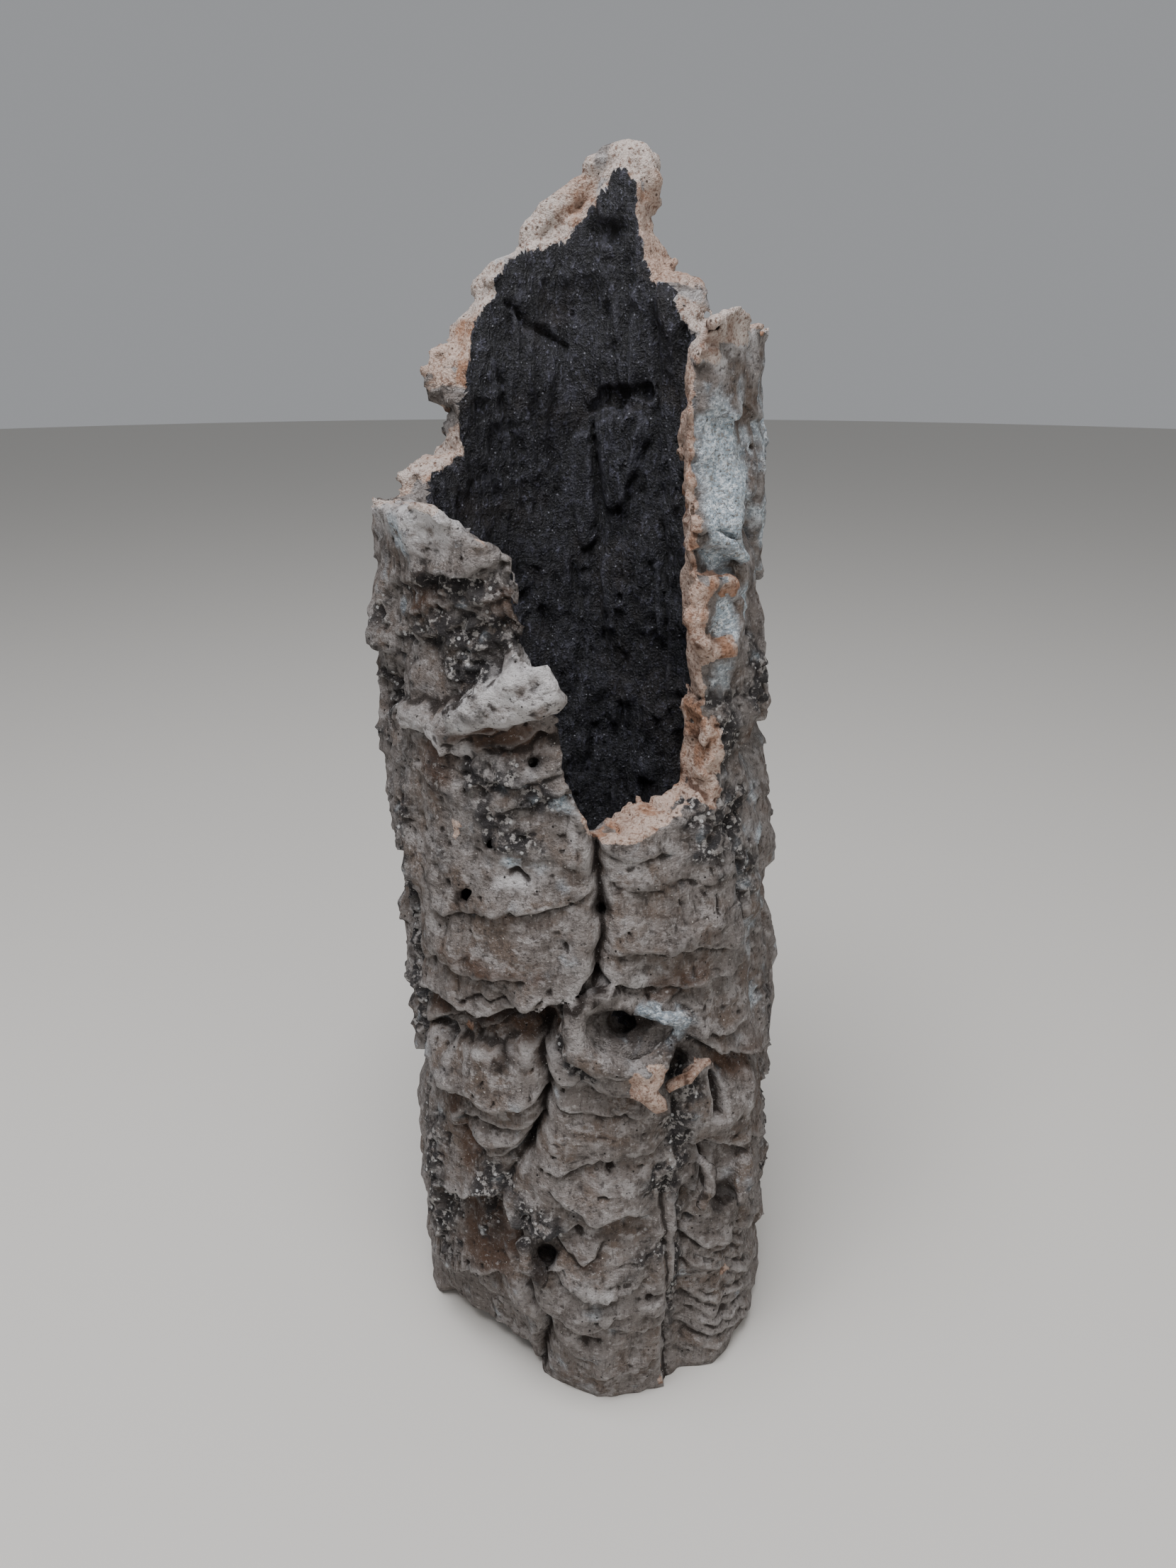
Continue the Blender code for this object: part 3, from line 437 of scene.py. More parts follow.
NOISE_ROUGHNESS = 0.62    # how strong the finer layers of every pattern are
LIMB_FILLET = 3.0         # how softly limbs and bores meet the bark, in millimetres
BORE_FILLET = 1.2
CHAIN_REACH = 16.0        # how far from a chain's middles its balls and their fillet can be felt
FAR_AWAY = 99.0           # a distance beyond every reach
DETAIL_PULL = 1e-6        # how strongly the faces are kept for the side that the photograph shows


def smooth(t):
    """Rises smoothly from 0 to 1 as t goes from 0 to 1."""
    t = np.clip(t, 0.0, 1.0)
    return t * t * (3.0 - 2.0 * t)


def turn(bearing, about):
    """The bearing measured from another one, between -180 and 180 degrees."""
    return (bearing - about + 180.0) % 360.0 - 180.0


def across(bearing, about):
    """The way round the bark between two bearings."""
    return np.radians(turn(bearing, about)) * BODY_RADIUS


def lean(height):
    """How far the axis stands to the right of the foot's centre."""
    return -LEAN * smooth((height - LEAN_START) / (HEIGHT - LEAN_START)) ** 0.8


# Skin maps: rows are heights and columns are bearings
ROUND = 2.0 * math.pi * BODY_RADIUS
MAP_LOW = -6.0
MAP_HIGH = 516.0
MAP_COLUMNS = int(round(ROUND / SKIN_STEP))
MAP_ROWS = int(round((MAP_HIGH - MAP_LOW) / SKIN_STEP))
BEARING_STEP = 360.0 / MAP_COLUMNS
BEARINGS = (np.arange(MAP_COLUMNS) * BEARING_STEP - 180.0).astype(np.float32)
HEIGHTS = (np.arange(MAP_ROWS) * SKIN_STEP + MAP_LOW).astype(np.float32)
BEARING, LEVEL = np.meshgrid(BEARINGS, HEIGHTS)


def grain(cell_round, cell_up, seed, bearing=None, height=None):
    """Smooth random relief between -1 and 1, with cells of a given size round and up the bark."""
    bearing = BEARING if bearing is None else bearing
    height = LEVEL if height is None else height
    columns = max(3, int(round(ROUND / cell_round)))
    rows = int((MAP_HIGH - MAP_LOW) / cell_up) + 8
    knots = np.random.default_rng(seed).uniform(-1, 1, (rows, columns)).astype(np.float32)
    x = (bearing + 180.0) / 360.0 * columns
    y = (height - MAP_LOW) / cell_up + 2.0
    column, row = np.floor(x).astype(np.int32), np.floor(y).astype(np.int32)
    u, v = smooth(x - column), smooth(y - row)
    column, row = column % columns, np.clip(row, 0, rows - 2)
    beside = (column + 1) % columns
    low = knots[row, column] * (1 - u) + knots[row, beside] * u
    high = knots[row + 1, column] * (1 - u) + knots[row + 1, beside] * u
    return low * (1 - v) + high * v


def stamp(skin, bearings, heights, reach, shape, add=np.add):
    """Adds a form to the part of a skin map that lies within reach of it."""
    pad = math.degrees(reach / BODY_RADIUS)
    first = math.floor((min(bearings) - pad + 180.0) / BEARING_STEP)
    last = math.ceil((max(bearings) + pad + 180.0) / BEARING_STEP)
    bottom = max(0, int((min(heights) - reach - MAP_LOW) / SKIN_STEP))
    top = min(MAP_ROWS, int((max(heights) + reach - MAP_LOW) / SKIN_STEP))
    if top <= bottom:
        return
    at = np.ix_(np.arange(bottom, top), np.arange(first, last) % MAP_COLUMNS)
    skin[at] = add(skin[at], shape(at))


def along_line(bearing, height, line, fade=9.0):
    """The height above a line that runs round the bark, and how much of the line is there."""
    bearings = np.array([point[0] for point in line], float)
    heights = np.array([point[1] for point in line], float)
    middle = (bearings[0] + bearings[-1]) / 2
    here = middle + turn(bearing, middle)
    above = height - np.interp(here, bearings, heights)
    share = smooth((here - bearings[0]) / fade + 0.5) * smooth((bearings[-1] - here) / fade + 0.5)
    return above, share


def ledge(bearing, height, line, proud, hollow, up, down, edge=1.5):
    """A lip with the bark proud above it and hollowed below it."""
    above, share = along_line(bearing, height, line)
    side = smooth(above / (2 * edge) + 0.5)
    lip = proud * np.exp(-np.maximum(above, 0.0) / up) * side
    cave = hollow * np.exp(-(np.maximum(-above, 0.0) / down) ** 1.5) * (1.0 - side)
    return share * (lip - cave)


def shelf(bearing, height, line, step, up, edge=1.2):
    """A step in, above a line."""
    above, share = along_line(bearing, height, line)
    return -share * step * smooth(above / (2 * edge) + 0.5) * np.exp(-np.maximum(above, 0.0) / up)


def line_gap(bearing, height, line):
    """The distance to a line of straight stretches on the skin."""
    nearest = np.full(np.shape(bearing), 1e9, np.float32)
    for (b0, h0), (b1, h1) in zip(line, line[1:]):
        middle = (b0 + b1) / 2
        x = across(bearing, middle)
        x0, x1 = across(b0, middle), across(b1, middle)
        length = (x1 - x0) ** 2 + (h1 - h0) ** 2
        t = np.clip(((x - x0) * (x1 - x0) + (height - h0) * (h1 - h0)) / length, 0.0, 1.0)
        nearest = np.minimum(nearest, np.hypot(x - x0 - t * (x1 - x0), height - h0 - t * (h1 - h0)))
    return nearest


def mound(bearing, height, at, up_at, half_width, half_height, rise):
    """A round swelling, or a hollow where the rise is negative."""
    reach = (across(bearing, at) / half_width) ** 2 + ((height - up_at) / half_height) ** 2
    return rise * np.exp(-reach ** 1.4)


def outline_gap(bearing, height, outline):
    """How far each place lies inside an outline, in millimetres: negative outside it."""
    middle = (min(b for b, _ in outline) + max(b for b, _ in outline)) / 2
    x = across(bearing, middle)
    gap = np.full(np.shape(x), 1e9, np.float32)
    inside = np.zeros(np.shape(x), bool)
    for (b0, h0), (b1, h1) in zip(outline, outline[1:] + outline[:1]):
        x0, x1 = across(b0, middle), across(b1, middle)
        dx, dh = x1 - x0, h1 - h0
        t = np.clip(((x - x0) * dx + (height - h0) * dh) / (dx * dx + dh * dh), 0.0, 1.0)
        gap = np.minimum(gap, np.hypot(x - x0 - t * dx, height - h0 - t * dh))
        if h0 != h1:
            level = (height >= min(h0, h1)) & (height < max(h0, h1))
            inside ^= level & (x < x0 + (height - h0) * dx / dh)
    return np.where(inside, gap, -gap)


def patch(bearing, height, outline, rise, edge):
    """A raised or sunken area with a clear outline."""
    return rise * smooth(outline_gap(bearing, height, outline) / edge + 0.5)


def ribs(bearing, height, at, up_at, half_width, half_height, spacing, turned, rise):
    """Even flutes within a patch: upright, or turned by some degrees."""
    angle = math.radians(turned)
    x, y = across(bearing, at), height - up_at
    wave = np.sin(2 * math.pi * (x * math.cos(angle) + y * math.sin(angle)) / spacing)
    return rise * wave * np.exp(-((x / half_width) ** 2 + (y / half_height) ** 2) ** 1.4)


def front_lobe_side(bearing, height):
    """The broken right side of the front lobe: the bark beyond it lies lower."""
    beyond = across(bearing, 25.0 - 1.5 * np.sin(height / 19.0))
    low = 5.0 * smooth(beyond / 2.0 + 0.5) * smooth(1.0 - (beyond - 8.0) / 22.0)
    return -low * smooth((112.0 - height) / 14.0)


def wrinkles(bearing, height):
    """Broad wrinkles that run mostly round the bark, with soft upright flutes across them."""
    b = np.radians(bearing)
    drift = 9.0 * np.sin(3 * b + 0.7) + 5.0 * np.sin(7 * b + height / 61.0)
    rings = 0.6 * np.sin((height + drift) / 4.6 + 1.1 * np.sin(5 * b + height / 37.0))
    broad = 1.0 * np.sin((height - drift) / 11.5 + 2.0 * np.sin(2 * b + 1.3))
    flutes = 0.7 * np.sin(17 * b + 2.2 * np.sin(height / 33.0)) + 0.4 * np.sin(29 * b - height / 21.0)
    return rings + broad + flutes


def mean_radius(bearing, height):
    """The bark's outer radius without its relief: the foot's outline, then narrower towards the rim."""
    outline = np.interp(turn(bearing, 0), [point[0] for point in FOOT], [point[1] for point in FOOT])
    body = BODY_RADIUS + (TOP_RADIUS - BODY_RADIUS) * smooth(height / 420.0)
    return outline + (body - outline) * smooth(height / FOOT_RISE)


def hollow_radius(bearing, height):
    """The radius of the hollow, with long soft folds up its wall."""
    b = np.radians(bearing)
    taper = INNER_RADIUS + (TOP_INNER_RADIUS - INNER_RADIUS) * smooth(height / 420.0)
    folds = 1.5 * np.sin(5 * b + height / 90.0) + 1.0 * np.sin(11 * b - height / 55.0)
    rings = 0.8 * np.sin(height / 26.0 + 2 * b)
    tuck = FOOT_TUCK * smooth(1.0 - np.abs(turn(bearing, -40)) / 45.0) * smooth(1.0 - height / FOOT_RISE)
    return taper + folds + rings - tuck


def finish_map(patches, break_up, seed, cell=7.0):
    """How much of a finish lies at each place, from its patches, with a broken edge."""
    skin = np.zeros_like(BEARING)
    for at, up_at, half_width, half_height, strength in patches:
        def shape(cells, at=at, up_at=up_at, w=half_width, h=half_height, strength=strength):
            x = across(BEARING[cells], at) / w
            y = (LEVEL[cells] - up_at) / h
            return strength * np.exp(-(x * x + y * y) ** 1.3)
        stamp(skin, [at], [up_at], 1.9 * max(half_width, half_height), shape, np.maximum)
    torn = grain(cell, cell * 0.8, seed) + 0.6 * grain(cell * 0.4, cell * 0.4, seed + 1)
    return smooth((skin + break_up * torn - 0.22) / 0.5)


def blurred(skin, reach):
    """A skin map averaged over a reach, three times over."""
    half = max(1, int(round(reach / SKIN_STEP / 2)))
    width = 2 * half + 1
    for _ in range(3):
        wide = np.concatenate([skin[:, -half:], skin, skin[:, :half]], axis=1)
        total = np.cumsum(wide, axis=1, dtype=np.float64)
        total = np.concatenate([np.zeros((total.shape[0], 1)), total], axis=1)
        skin = (total[:, width:] - total[:, :-width]) / width
        tall = np.concatenate([np.repeat(skin[:1], half, 0), skin, np.repeat(skin[-1:], half, 0)])
        total = np.cumsum(tall, axis=0)
        total = np.concatenate([np.zeros((1, total.shape[1])), total])
        skin = (total[width:] - total[:-width]) / width
    return skin.astype(np.float32)


def rim_gap(rim):
    """How far each place on the skin lies below or inside a rim line: negative beyond it."""
    line = [(b - 360.0, h) for b, h in rim[-9:-1]] + rim + [(b + 360.0, h) for b, h in rim[1:9]]
    rows = np.flatnonzero(HEIGHTS > OPENING_LOW)
    x, height = np.radians(BEARING[rows]) * BODY_RADIUS, LEVEL[rows]
    gap = np.full(x.shape, RIM_REACH, np.float32)
    below = np.zeros(x.shape, bool)
    for (b0, h0), (b1, h1) in zip(line, line[1:]):
        x0, x1 = math.radians(b0) * BODY_RADIUS, math.radians(b1) * BODY_RADIUS
        columns = np.flatnonzero((x[0] > min(x0, x1) - RIM_REACH) & (x[0] < max(x0, x1) + RIM_REACH))
        if len(columns) == 0:
            continue
        across_it, above = x[:, columns] - x0, height[:, columns] - h0
        dx, dh = x1 - x0, h1 - h0
        t = np.clip((across_it * dx + above * dh) / (dx * dx + dh * dh), 0.0, 1.0)
        gap[:, columns] = np.minimum(gap[:, columns], np.hypot(across_it - t * dx, above - t * dh))
        if dx:
            under = (across_it >= min(0.0, dx)) & (across_it < max(0.0, dx)) & (above < across_it * dh / dx)
            below[:, columns] ^= under
    full = np.full(BEARING.shape, RIM_REACH, np.float32)
    full[rows] = np.where(below, gap, -gap)
    return full


def make_skin(b, h):
    """The forms of the bark's outside, from their lists, at slightly shaken bearings and heights."""
    skin = wrinkles(BEARING, LEVEL).astype(np.float32)

    def press(points, reach, form):
        stamp(skin, [point[0] for point in points], [point[1] for point in points], reach,
              lambda at: form(b[at], h[at]))
    for line, *sizes in LEDGES + small_ledges():
        press(line, 2.5 * max(sizes[2:]), lambda x, y: ledge(x, y, line, *sizes))
    for line, step, up in SHELVES:
        press(line, 3.0 * up, lambda x, y: shelf(x, y, line, step, up))
    for outline, rise, edge in PATCHES:
        press(outline, edge, lambda x, y: patch(x, y, outline, rise, edge))
    for line, half_width, depth in SEAMS:
        press(line, 4 * half_width, lambda x, y: -depth * np.exp(-(line_gap(x, y, line) / half_width) ** 1.6))
    for form in MOUNDS:
        press([form], 2.0 * max(form[2:4]), lambda x, y: mound(x, y, *form))
    for form in RIBS:
        press([form], 2.0 * max(form[2:4]), lambda x, y: ribs(x, y, *form))
    skin += front_lobe_side(b, h)
    skin = np.clip(skin, -12.5, 17.0)
    for at, up_at, half_width, half_height, depth in HOLES:
        press([(at, up_at)], 3.0 * max(half_width, half_height),
              lambda x, y: mound(x, y, at, up_at, half_width, half_height, -depth))
    return skin


def small_ledges():
    """Short thin lips scattered over the bark, too small to be placed one by one."""
    draw = np.random.default_rng(LEDGE_SEED)
    lips = []
    for _ in range(SMALL_LEDGES):
        at, up_at, half = draw.uniform(-180, 180), draw.uniform(12, 440), draw.uniform(6, 17)
        slope = draw.normal(0.0, 0.16)
        line = [(at + step * half, up_at + slope * step * half + draw.normal(0.0, 1.0))
                for step in (-1.0, -0.5, 0.0, 0.5, 1.0)]
        proud, hollow = draw.uniform(0.3, 1.0), draw.uniform(0.5, 1.6)
        up, down = draw.uniform(4, 9), draw.uniform(2.2, 4.5)
        lips.append((line, proud, hollow, up, down))
    return lips


def make_lining(b, h):
    """How far the charred wall stands out into the hollow: fibres, plates and cracks."""
    lining = 0.8 * grain(34, 60, 201) + 0.6 * grain(13, 24, 202)
    lining += 0.9 * (1.0 - 2.6 * np.abs(grain(6, 34, 203))) + 0.9 * grain(2.6, 20, 204)
    lining += 0.6 * (1.0 - 2.4 * np.abs(grain(5, 9, 205))) + 0.5 * grain(2.6, 4.0, 206)

    def press(points, reach, form):
        stamp(lining, [point[0] for point in points], [point[1] for point in points], reach,
              lambda at: form(b[at], h[at]))
    draw = np.random.default_rng(CHAR_SEED)
    for _ in range(CHAR_SHELVES):
        at, up_at, half = draw.uniform(-180, 180), draw.uniform(20, 490), draw.uniform(2, 6)
        line = [(at - half, up_at + draw.normal(0, 3)), (at, up_at), (at + half, up_at + draw.normal(0, 3))]
        step, up = draw.uniform(0.5, 1.6), draw.uniform(4, 14)
        press(line, 3.0 * up, lambda x, y: shelf(x, y, line, step, up, 0.8))
    for outline, rise, edge in CHAR_PATCHES:
        press(outline, edge, lambda x, y: patch(x, y, outline, rise, edge))
    for line, half_width, depth in CHAR_SEAMS:
        press(line, 4 * half_width, lambda x, y: -depth * np.exp(-(line_gap(x, y, line) / half_width) ** 1.6))
    for form in CHAR_MOUNDS:
        press([form], 2.0 * max(form[2:4]), lambda x, y: mound(x, y, *form))
    return np.clip(lining, -4.5, 7.0)


def add_fine_relief(skin, crust):
    """Wrinkles, flutes, lumps and pits too fine for the source, rougher where there is crust."""
    drift = 6.0 * grain(60, 60, 41)
    bands = grain(34, 4.6, 42, height=LEVEL + drift) + 0.6 * grain(20, 2.6, 43, height=LEVEL + drift)
    flutes = grain(3.2, 26, 44) + 0.5 * grain(1.8, 16, 45)
    lumps = grain(9, 7, 46)
    crumbs = 1.0 - 2.0 * np.abs(grain(4.4, 3.6, 47)) + 0.7 * grain(2.2, 2.0, 48)
    cracks = -smooth(1.0 - np.abs(grain(26, 6.5, 49, height=LEVEL + drift)) / 0.07)
    sides = smooth((np.abs(BEARING) - 50.0) / 20.0)
    skin = skin + 0.6 * bands + (0.42 - 0.2 * crust) * flutes + 0.8 * lumps
    skin += (0.32 + (1.1 + 0.9 * sides) * crust) * crumbs + 0.9 * cracks * smooth(0.5 + grain(30, 30, 50))
    draw = np.random.default_rng(PIT_SEED)
    for _ in range(PITS):
        at, up_at = draw.uniform(-180, 180), draw.uniform(4, 440)
        wide, tall, deep = draw.uniform(0.6, 1.5), draw.uniform(0.5, 1.2), draw.uniform(1.0, 2.6)
        stamp(skin, [at], [up_at], 3.0 * max(wide, tall),
              lambda cells: mound(BEARING[cells], LEVEL[cells], at, up_at, wide, tall, -deep))
    return skin


def sample(skin, bearing, height):
    """A skin map read between its places."""
    x = ((bearing + 180.0) / BEARING_STEP) % MAP_COLUMNS
    y = np.clip((height - MAP_LOW) / SKIN_STEP, 0.0, MAP_ROWS - 1.001)
    column, row = x.astype(np.int32), y.astype(np.int32)
    u, v = (x - column).astype(np.float32), (y - row).astype(np.float32)
    column %= MAP_COLUMNS
    beside = (column + 1) % MAP_COLUMNS
    low = skin[row, column] * (1 - u) + skin[row, beside] * u
    high = skin[row + 1, column] * (1 - u) + skin[row + 1, beside] * u
    return low * (1 - v) + high * v


def lumps_3d(points, cell, seed):
    """Smooth random lumps between -1 and 1 at points in space."""
    size = 64
    knots = np.random.default_rng(seed).uniform(-1, 1, (size, size, size)).astype(np.float32)
    p = points / np.asarray(cell, np.float32)
    whole = np.floor(p).astype(np.int32)
    f = smooth(p - whole).astype(np.float32)
    i, j, k = (whole % size).T
    i1, j1, k1 = (i + 1) % size, (j + 1) % size, (k + 1) % size
    x, y, z = f.T
    a = knots[i, j, k] * (1 - x) + knots[i1, j, k] * x
    b = knots[i, j1, k] * (1 - x) + knots[i1, j1, k] * x
    c = knots[i, j, k1] * (1 - x) + knots[i1, j, k1] * x
    d = knots[i, j1, k1] * (1 - x) + knots[i1, j1, k1] * x
    return (a * (1 - y) + b * y) * (1 - z) + (c * (1 - y) + d * y) * z


def foot_height(bearing):
    """The height of the bark's bottom edge: it stands flat, apart from its broken left front."""
    return FOOT_LIFT * smooth((turn(bearing, -50) + 31.0) / 9.0) * smooth((31.0 - turn(bearing, -50)) / 9.0)


def polar(points):
    """Bearing, height and radius of points in the bark's own frame."""
    x = points[:, 0] - lean(points[:, 2])
    y = points[:, 1]
    return np.degrees(np.arctan2(x, -y)), points[:, 2], np.hypot(x, y)


def skin_place(bearing, height, radius):
    """Where a point belongs on the skin maps: proud bark has slid down."""
    out = radius - sample(MAPS["mean"], bearing, height)
    held = smooth((height - foot_height(bearing)) / 12.0)
    return height + DROOP * np.clip(out, -14.0, 18.0) * held


class Place:
    """What the maps say about points in space."""

    def __init__(self, points):
        self.bearing, self.height, self.radius = polar(points)
        self.on_skin = skin_place(self.bearing, self.height, self.radius)
        self.outer = sample(MAPS["outer"], self.bearing, self.on_skin)
        self.inner = sample(MAPS["inner"], self.bearing, self.height)
        through = (self.outer - self.radius) / np.maximum(self.outer - self.inner, 3.0)
        self.through = np.clip(through, 0.0, 1.0)
        outside = sample(MAPS["rim"], self.bearing, self.height)
        inside = sample(MAPS["rim inside"], self.bearing, self.height)
        self.edge = outside + (inside - outside) * self.through

    def skin(self, name):
        """A skin map's value at each place."""
        return sample(MAPS[name], self.bearing, self.on_skin)


def chain_gap(points, chain):
    """The distance to a chain of balls: negative within it."""
    middles = []
    for bearing, height, out, _ in chain:
        radius = float(mean_radius(bearing, height)) + out
        angle = math.radians(bearing)
        middles.append(np.array([lean(height) + radius * math.sin(angle), -radius * math.cos(angle), height]))
    gap = np.full(len(points), FAR_AWAY, np.float32)
    sizes = [ball[3] for ball in chain]
    for a, b, size_a, size_b in zip(middles, middles[1:], sizes, sizes[1:]):
        way = b - a
        t = np.clip((points - a) @ way / (way @ way), 0.0, 1.0)
        beside = np.linalg.norm(points - a - t[:, None] * way, axis=1)
        gap = np.minimum(gap, beside - size_a - t * (size_b - size_a))
    return gap


def rough_chain_gap(points, chain):
    """The same, with a knobbly surface: the knobs are in proportion to the thickest ball."""
    knobs = 0.16 * lumps_3d(points, (5.0, 5.0, 4.0), 68) + 0.10 * lumps_3d(points, (2.4, 2.4, 2.2), 69)
    return chain_gap(points, chain) + knobs * 2.0 * min(3.5, max(ball[3] for ball in chain))


def near_chain(place, chain):
    """Which places could be touched by a chain of balls."""
    bearings, heights = [ball[0] for ball in chain], [ball[1] for ball in chain]
    middle = (bearings[0] + bearings[-1]) / 2
    side = max(abs(turn(bearing, middle)) for bearing in bearings) + math.degrees(CHAIN_REACH / 60.0)
    wide = np.abs(turn(place.bearing, middle)) < side
    level = (place.height > min(heights) - CHAIN_REACH) & (place.height < max(heights) + CHAIN_REACH)
    return np.flatnonzero(wide & level)


def blended(first, second, reach):
    """The union of two fields, with a fillet between them."""
    share = np.clip(0.5 + 0.5 * (second - first) / reach, 0.0, 1.0)
    return second + (first - second) * share - reach * share * (1.0 - share)


def depth_field(points, place):
    """Less than 0 inside the bark and more outside it, in millimetres near its surface."""
    depth = np.maximum.reduce([place.radius - place.outer, place.inner - place.radius, -place.edge])
    for _, chain in LIMBS:
        near = near_chain(place, chain)
        if len(near):
            depth[near] = blended(depth[near], rough_chain_gap(points[near], chain), LIMB_FILLET)
    for chain in BORES:
        near = near_chain(place, chain)
        if len(near):
            depth[near] = -blended(-depth[near], rough_chain_gap(points[near], chain), BORE_FILLET)
    return np.maximum(depth, foot_height(place.bearing) - place.height)


def roughness_at(points, place):
    """Crust, torn edges and charred fibres, in millimetres added to the field."""
    crust = place.skin("crust")
    near_rim = smooth(1.0 - np.abs(place.edge) / 6.0)
    outside = smooth(1.0 - place.through / 0.35)
    charred = smooth((place.through - 0.8) / 0.2)
    fine = lumps_3d(points, (2.6, 2.6, 2.2), 61) + 0.5 * lumps_3d(points, (1.5, 1.5, 1.3), 62)
    coarse = lumps_3d(points, (6.5, 6.5, 5.5), 63)
    fibre = lumps_3d(points, (2.8, 2.8, 13.0), 64) + 0.6 * lumps_3d(points, (1.8, 1.8, 7.0), 65)
    scales = lumps_3d(points, (8.0, 8.0, 11.0), 66)
    rough = outside * (0.38 + 0.6 * crust) * fine + outside * 0.5 * crust * coarse
    rough += near_rim * (1.0 - charred) * (1.1 * fine + 2.0 * coarse)
    rough += charred * (1.3 * fibre + 0.7 * np.abs(scales) + 0.6 * fine)
    return rough * smooth(place.height / 3.0)


def solid_field():
    """The field over a grid of points, fine only near the surface."""
    low = np.array([*GRID_LOW, -2.5 * VOXEL])
    high = np.array([*GRID_HIGH, HEIGHT + GRID_HEADROOM])
    counts = np.ceil((high - low) / VOXEL).astype(int)
    field = np.empty(counts, np.float32)
    deep, tall = (low[axis] + np.arange(counts[axis]) * VOXEL for axis in (1, 2))
    ys, zs = np.meshgrid(deep, tall, indexing="ij")
    for i in range(counts[0]):
        x = np.full(ys.size, low[0] + i * VOXEL)
        points = np.stack([x, ys.ravel(), zs.ravel()], axis=1).astype(np.float32)
        radius = np.hypot(points[:, 0], points[:, 1])
        values = np.full(len(points), OPEN_AIR, np.float32)
        ring = np.flatnonzero((radius > WALL_RING[0]) & (radius < WALL_RING[1]))
        base = depth_field(points[ring], Place(points[ring]))
        near = np.flatnonzero(np.abs(base) < ROUGH_REACH)
        beside = points[ring[near]]
        base[near] += roughness_at(beside, Place(beside))
        values[ring] = np.maximum(base, -points[ring, 2])
        field[i] = values.reshape(ys.shape)
    return field, low


def surface_net(field, low):
    """Points and quads of the surface where the field passes through zero."""
    inside = field < 0
    nx, ny, nz = field.shape
    corners = [(x, y, z) for x in (0, 1) for y in (0, 1) for z in (0, 1)]
    total = sum(inside[x:nx - 1 + x, y:ny - 1 + y, z:nz - 1 + z].astype(np.uint8) for x, y, z in corners)
    mixed = (total > 0) & (total < 8)
    cells = np.argwhere(mixed)
    number = np.full(mixed.shape, -1, np.int32)
    number[mixed] = np.arange(len(cells))
    place, hits = np.zeros((len(cells), 3), np.float32), np.zeros(len(cells), np.float32)
    for start in corners:
        for axis in range(3):
            if start[axis]:
                continue
            end = tuple(1 if k == axis else start[k] for k in range(3))
            a = field[tuple((cells + start).T)]
            b = field[tuple((cells + end).T)]
            crossing = (a < 0) != (b < 0)
            t = np.where(crossing, a / np.where(crossing, a - b, 1.0), 0.0)
            place += crossing[:, None] * (np.array(start) + t[:, None] * (np.array(end) - np.array(start)))
            hits += crossing
    points = low + VOXEL * (cells + place / hits[:, None])
    quads = []
    for axis in range(3):
        u, v = np.eye(3, dtype=int)[(axis + 1) % 3], np.eye(3, dtype=int)[(axis + 2) % 3]
        step = np.eye(3, dtype=int)[axis]
        here = inside[tuple(slice(0, n - s) for n, s in zip(field.shape, step))]
        there = inside[tuple(slice(s, n) for n, s in zip(field.shape, step))]
        edges = np.argwhere(here != there)
        keep = np.all(edges - u - v >= 0, axis=1) & np.all(edges < np.array(mixed.shape), axis=1)
        edges = edges[keep]
        ring = [number[tuple((edges - u - v).T)], number[tuple((edges - v).T)],
                number[tuple(edges.T)], number[tuple((edges - u).T)]]
        outward = here[tuple(edges.T)]
        quad = np.stack(ring, axis=1)
        quads.append(np.where(outward[:, None], quad, quad[:, ::-1]))
    return points, np.concatenate(quads)


def main_body(points, quads):
    """The largest connected part of a net, without its loose scraps."""
    label = np.arange(len(points))
    a = quads.ravel()
    b = np.roll(quads, 1, axis=1).ravel()
    while True:
        lower = np.minimum(label[a], label[b])
        before = label.copy()
        np.minimum.at(label, a, lower)
        np.minimum.at(label, b, lower)
        label = label[label]
        if np.array_equal(label, before):
            break
    names, counts = np.unique(label, return_counts=True)
    kept = label == names[np.argmax(counts)]
    number = np.cumsum(kept) - 1
    return points[kept], number[quads[kept[quads[:, 0]]]]


def to_world(points):
    """Bark millimetres to the frame's metres."""
    return (points + np.array([CENTRE[0], CENTRE[1], 0.0])) * MM


def to_bark(points):
    """The frame's metres to bark millimetres."""
    return points / MM - np.array([CENTRE[0], CENTRE[1], 0.0])


def mesh_from(name, points, faces):
    """A new piece in the scene from points and faces."""
    mesh = bpy.data.meshes.new(name)
    mesh.from_pydata(points.tolist(), [], faces.tolist())
    mesh.validate()
    piece = bpy.data.objects.new(name, mesh)
    bpy.context.collection.objects.link(piece)
    return piece


def points_of(mesh):
    """The points of a mesh, in metres."""
    flat = np.empty(len(mesh.vertices) * 3, np.float32)
    mesh.vertices.foreach_get("co", flat)
    return flat.reshape(-1, 3).astype(np.float64)


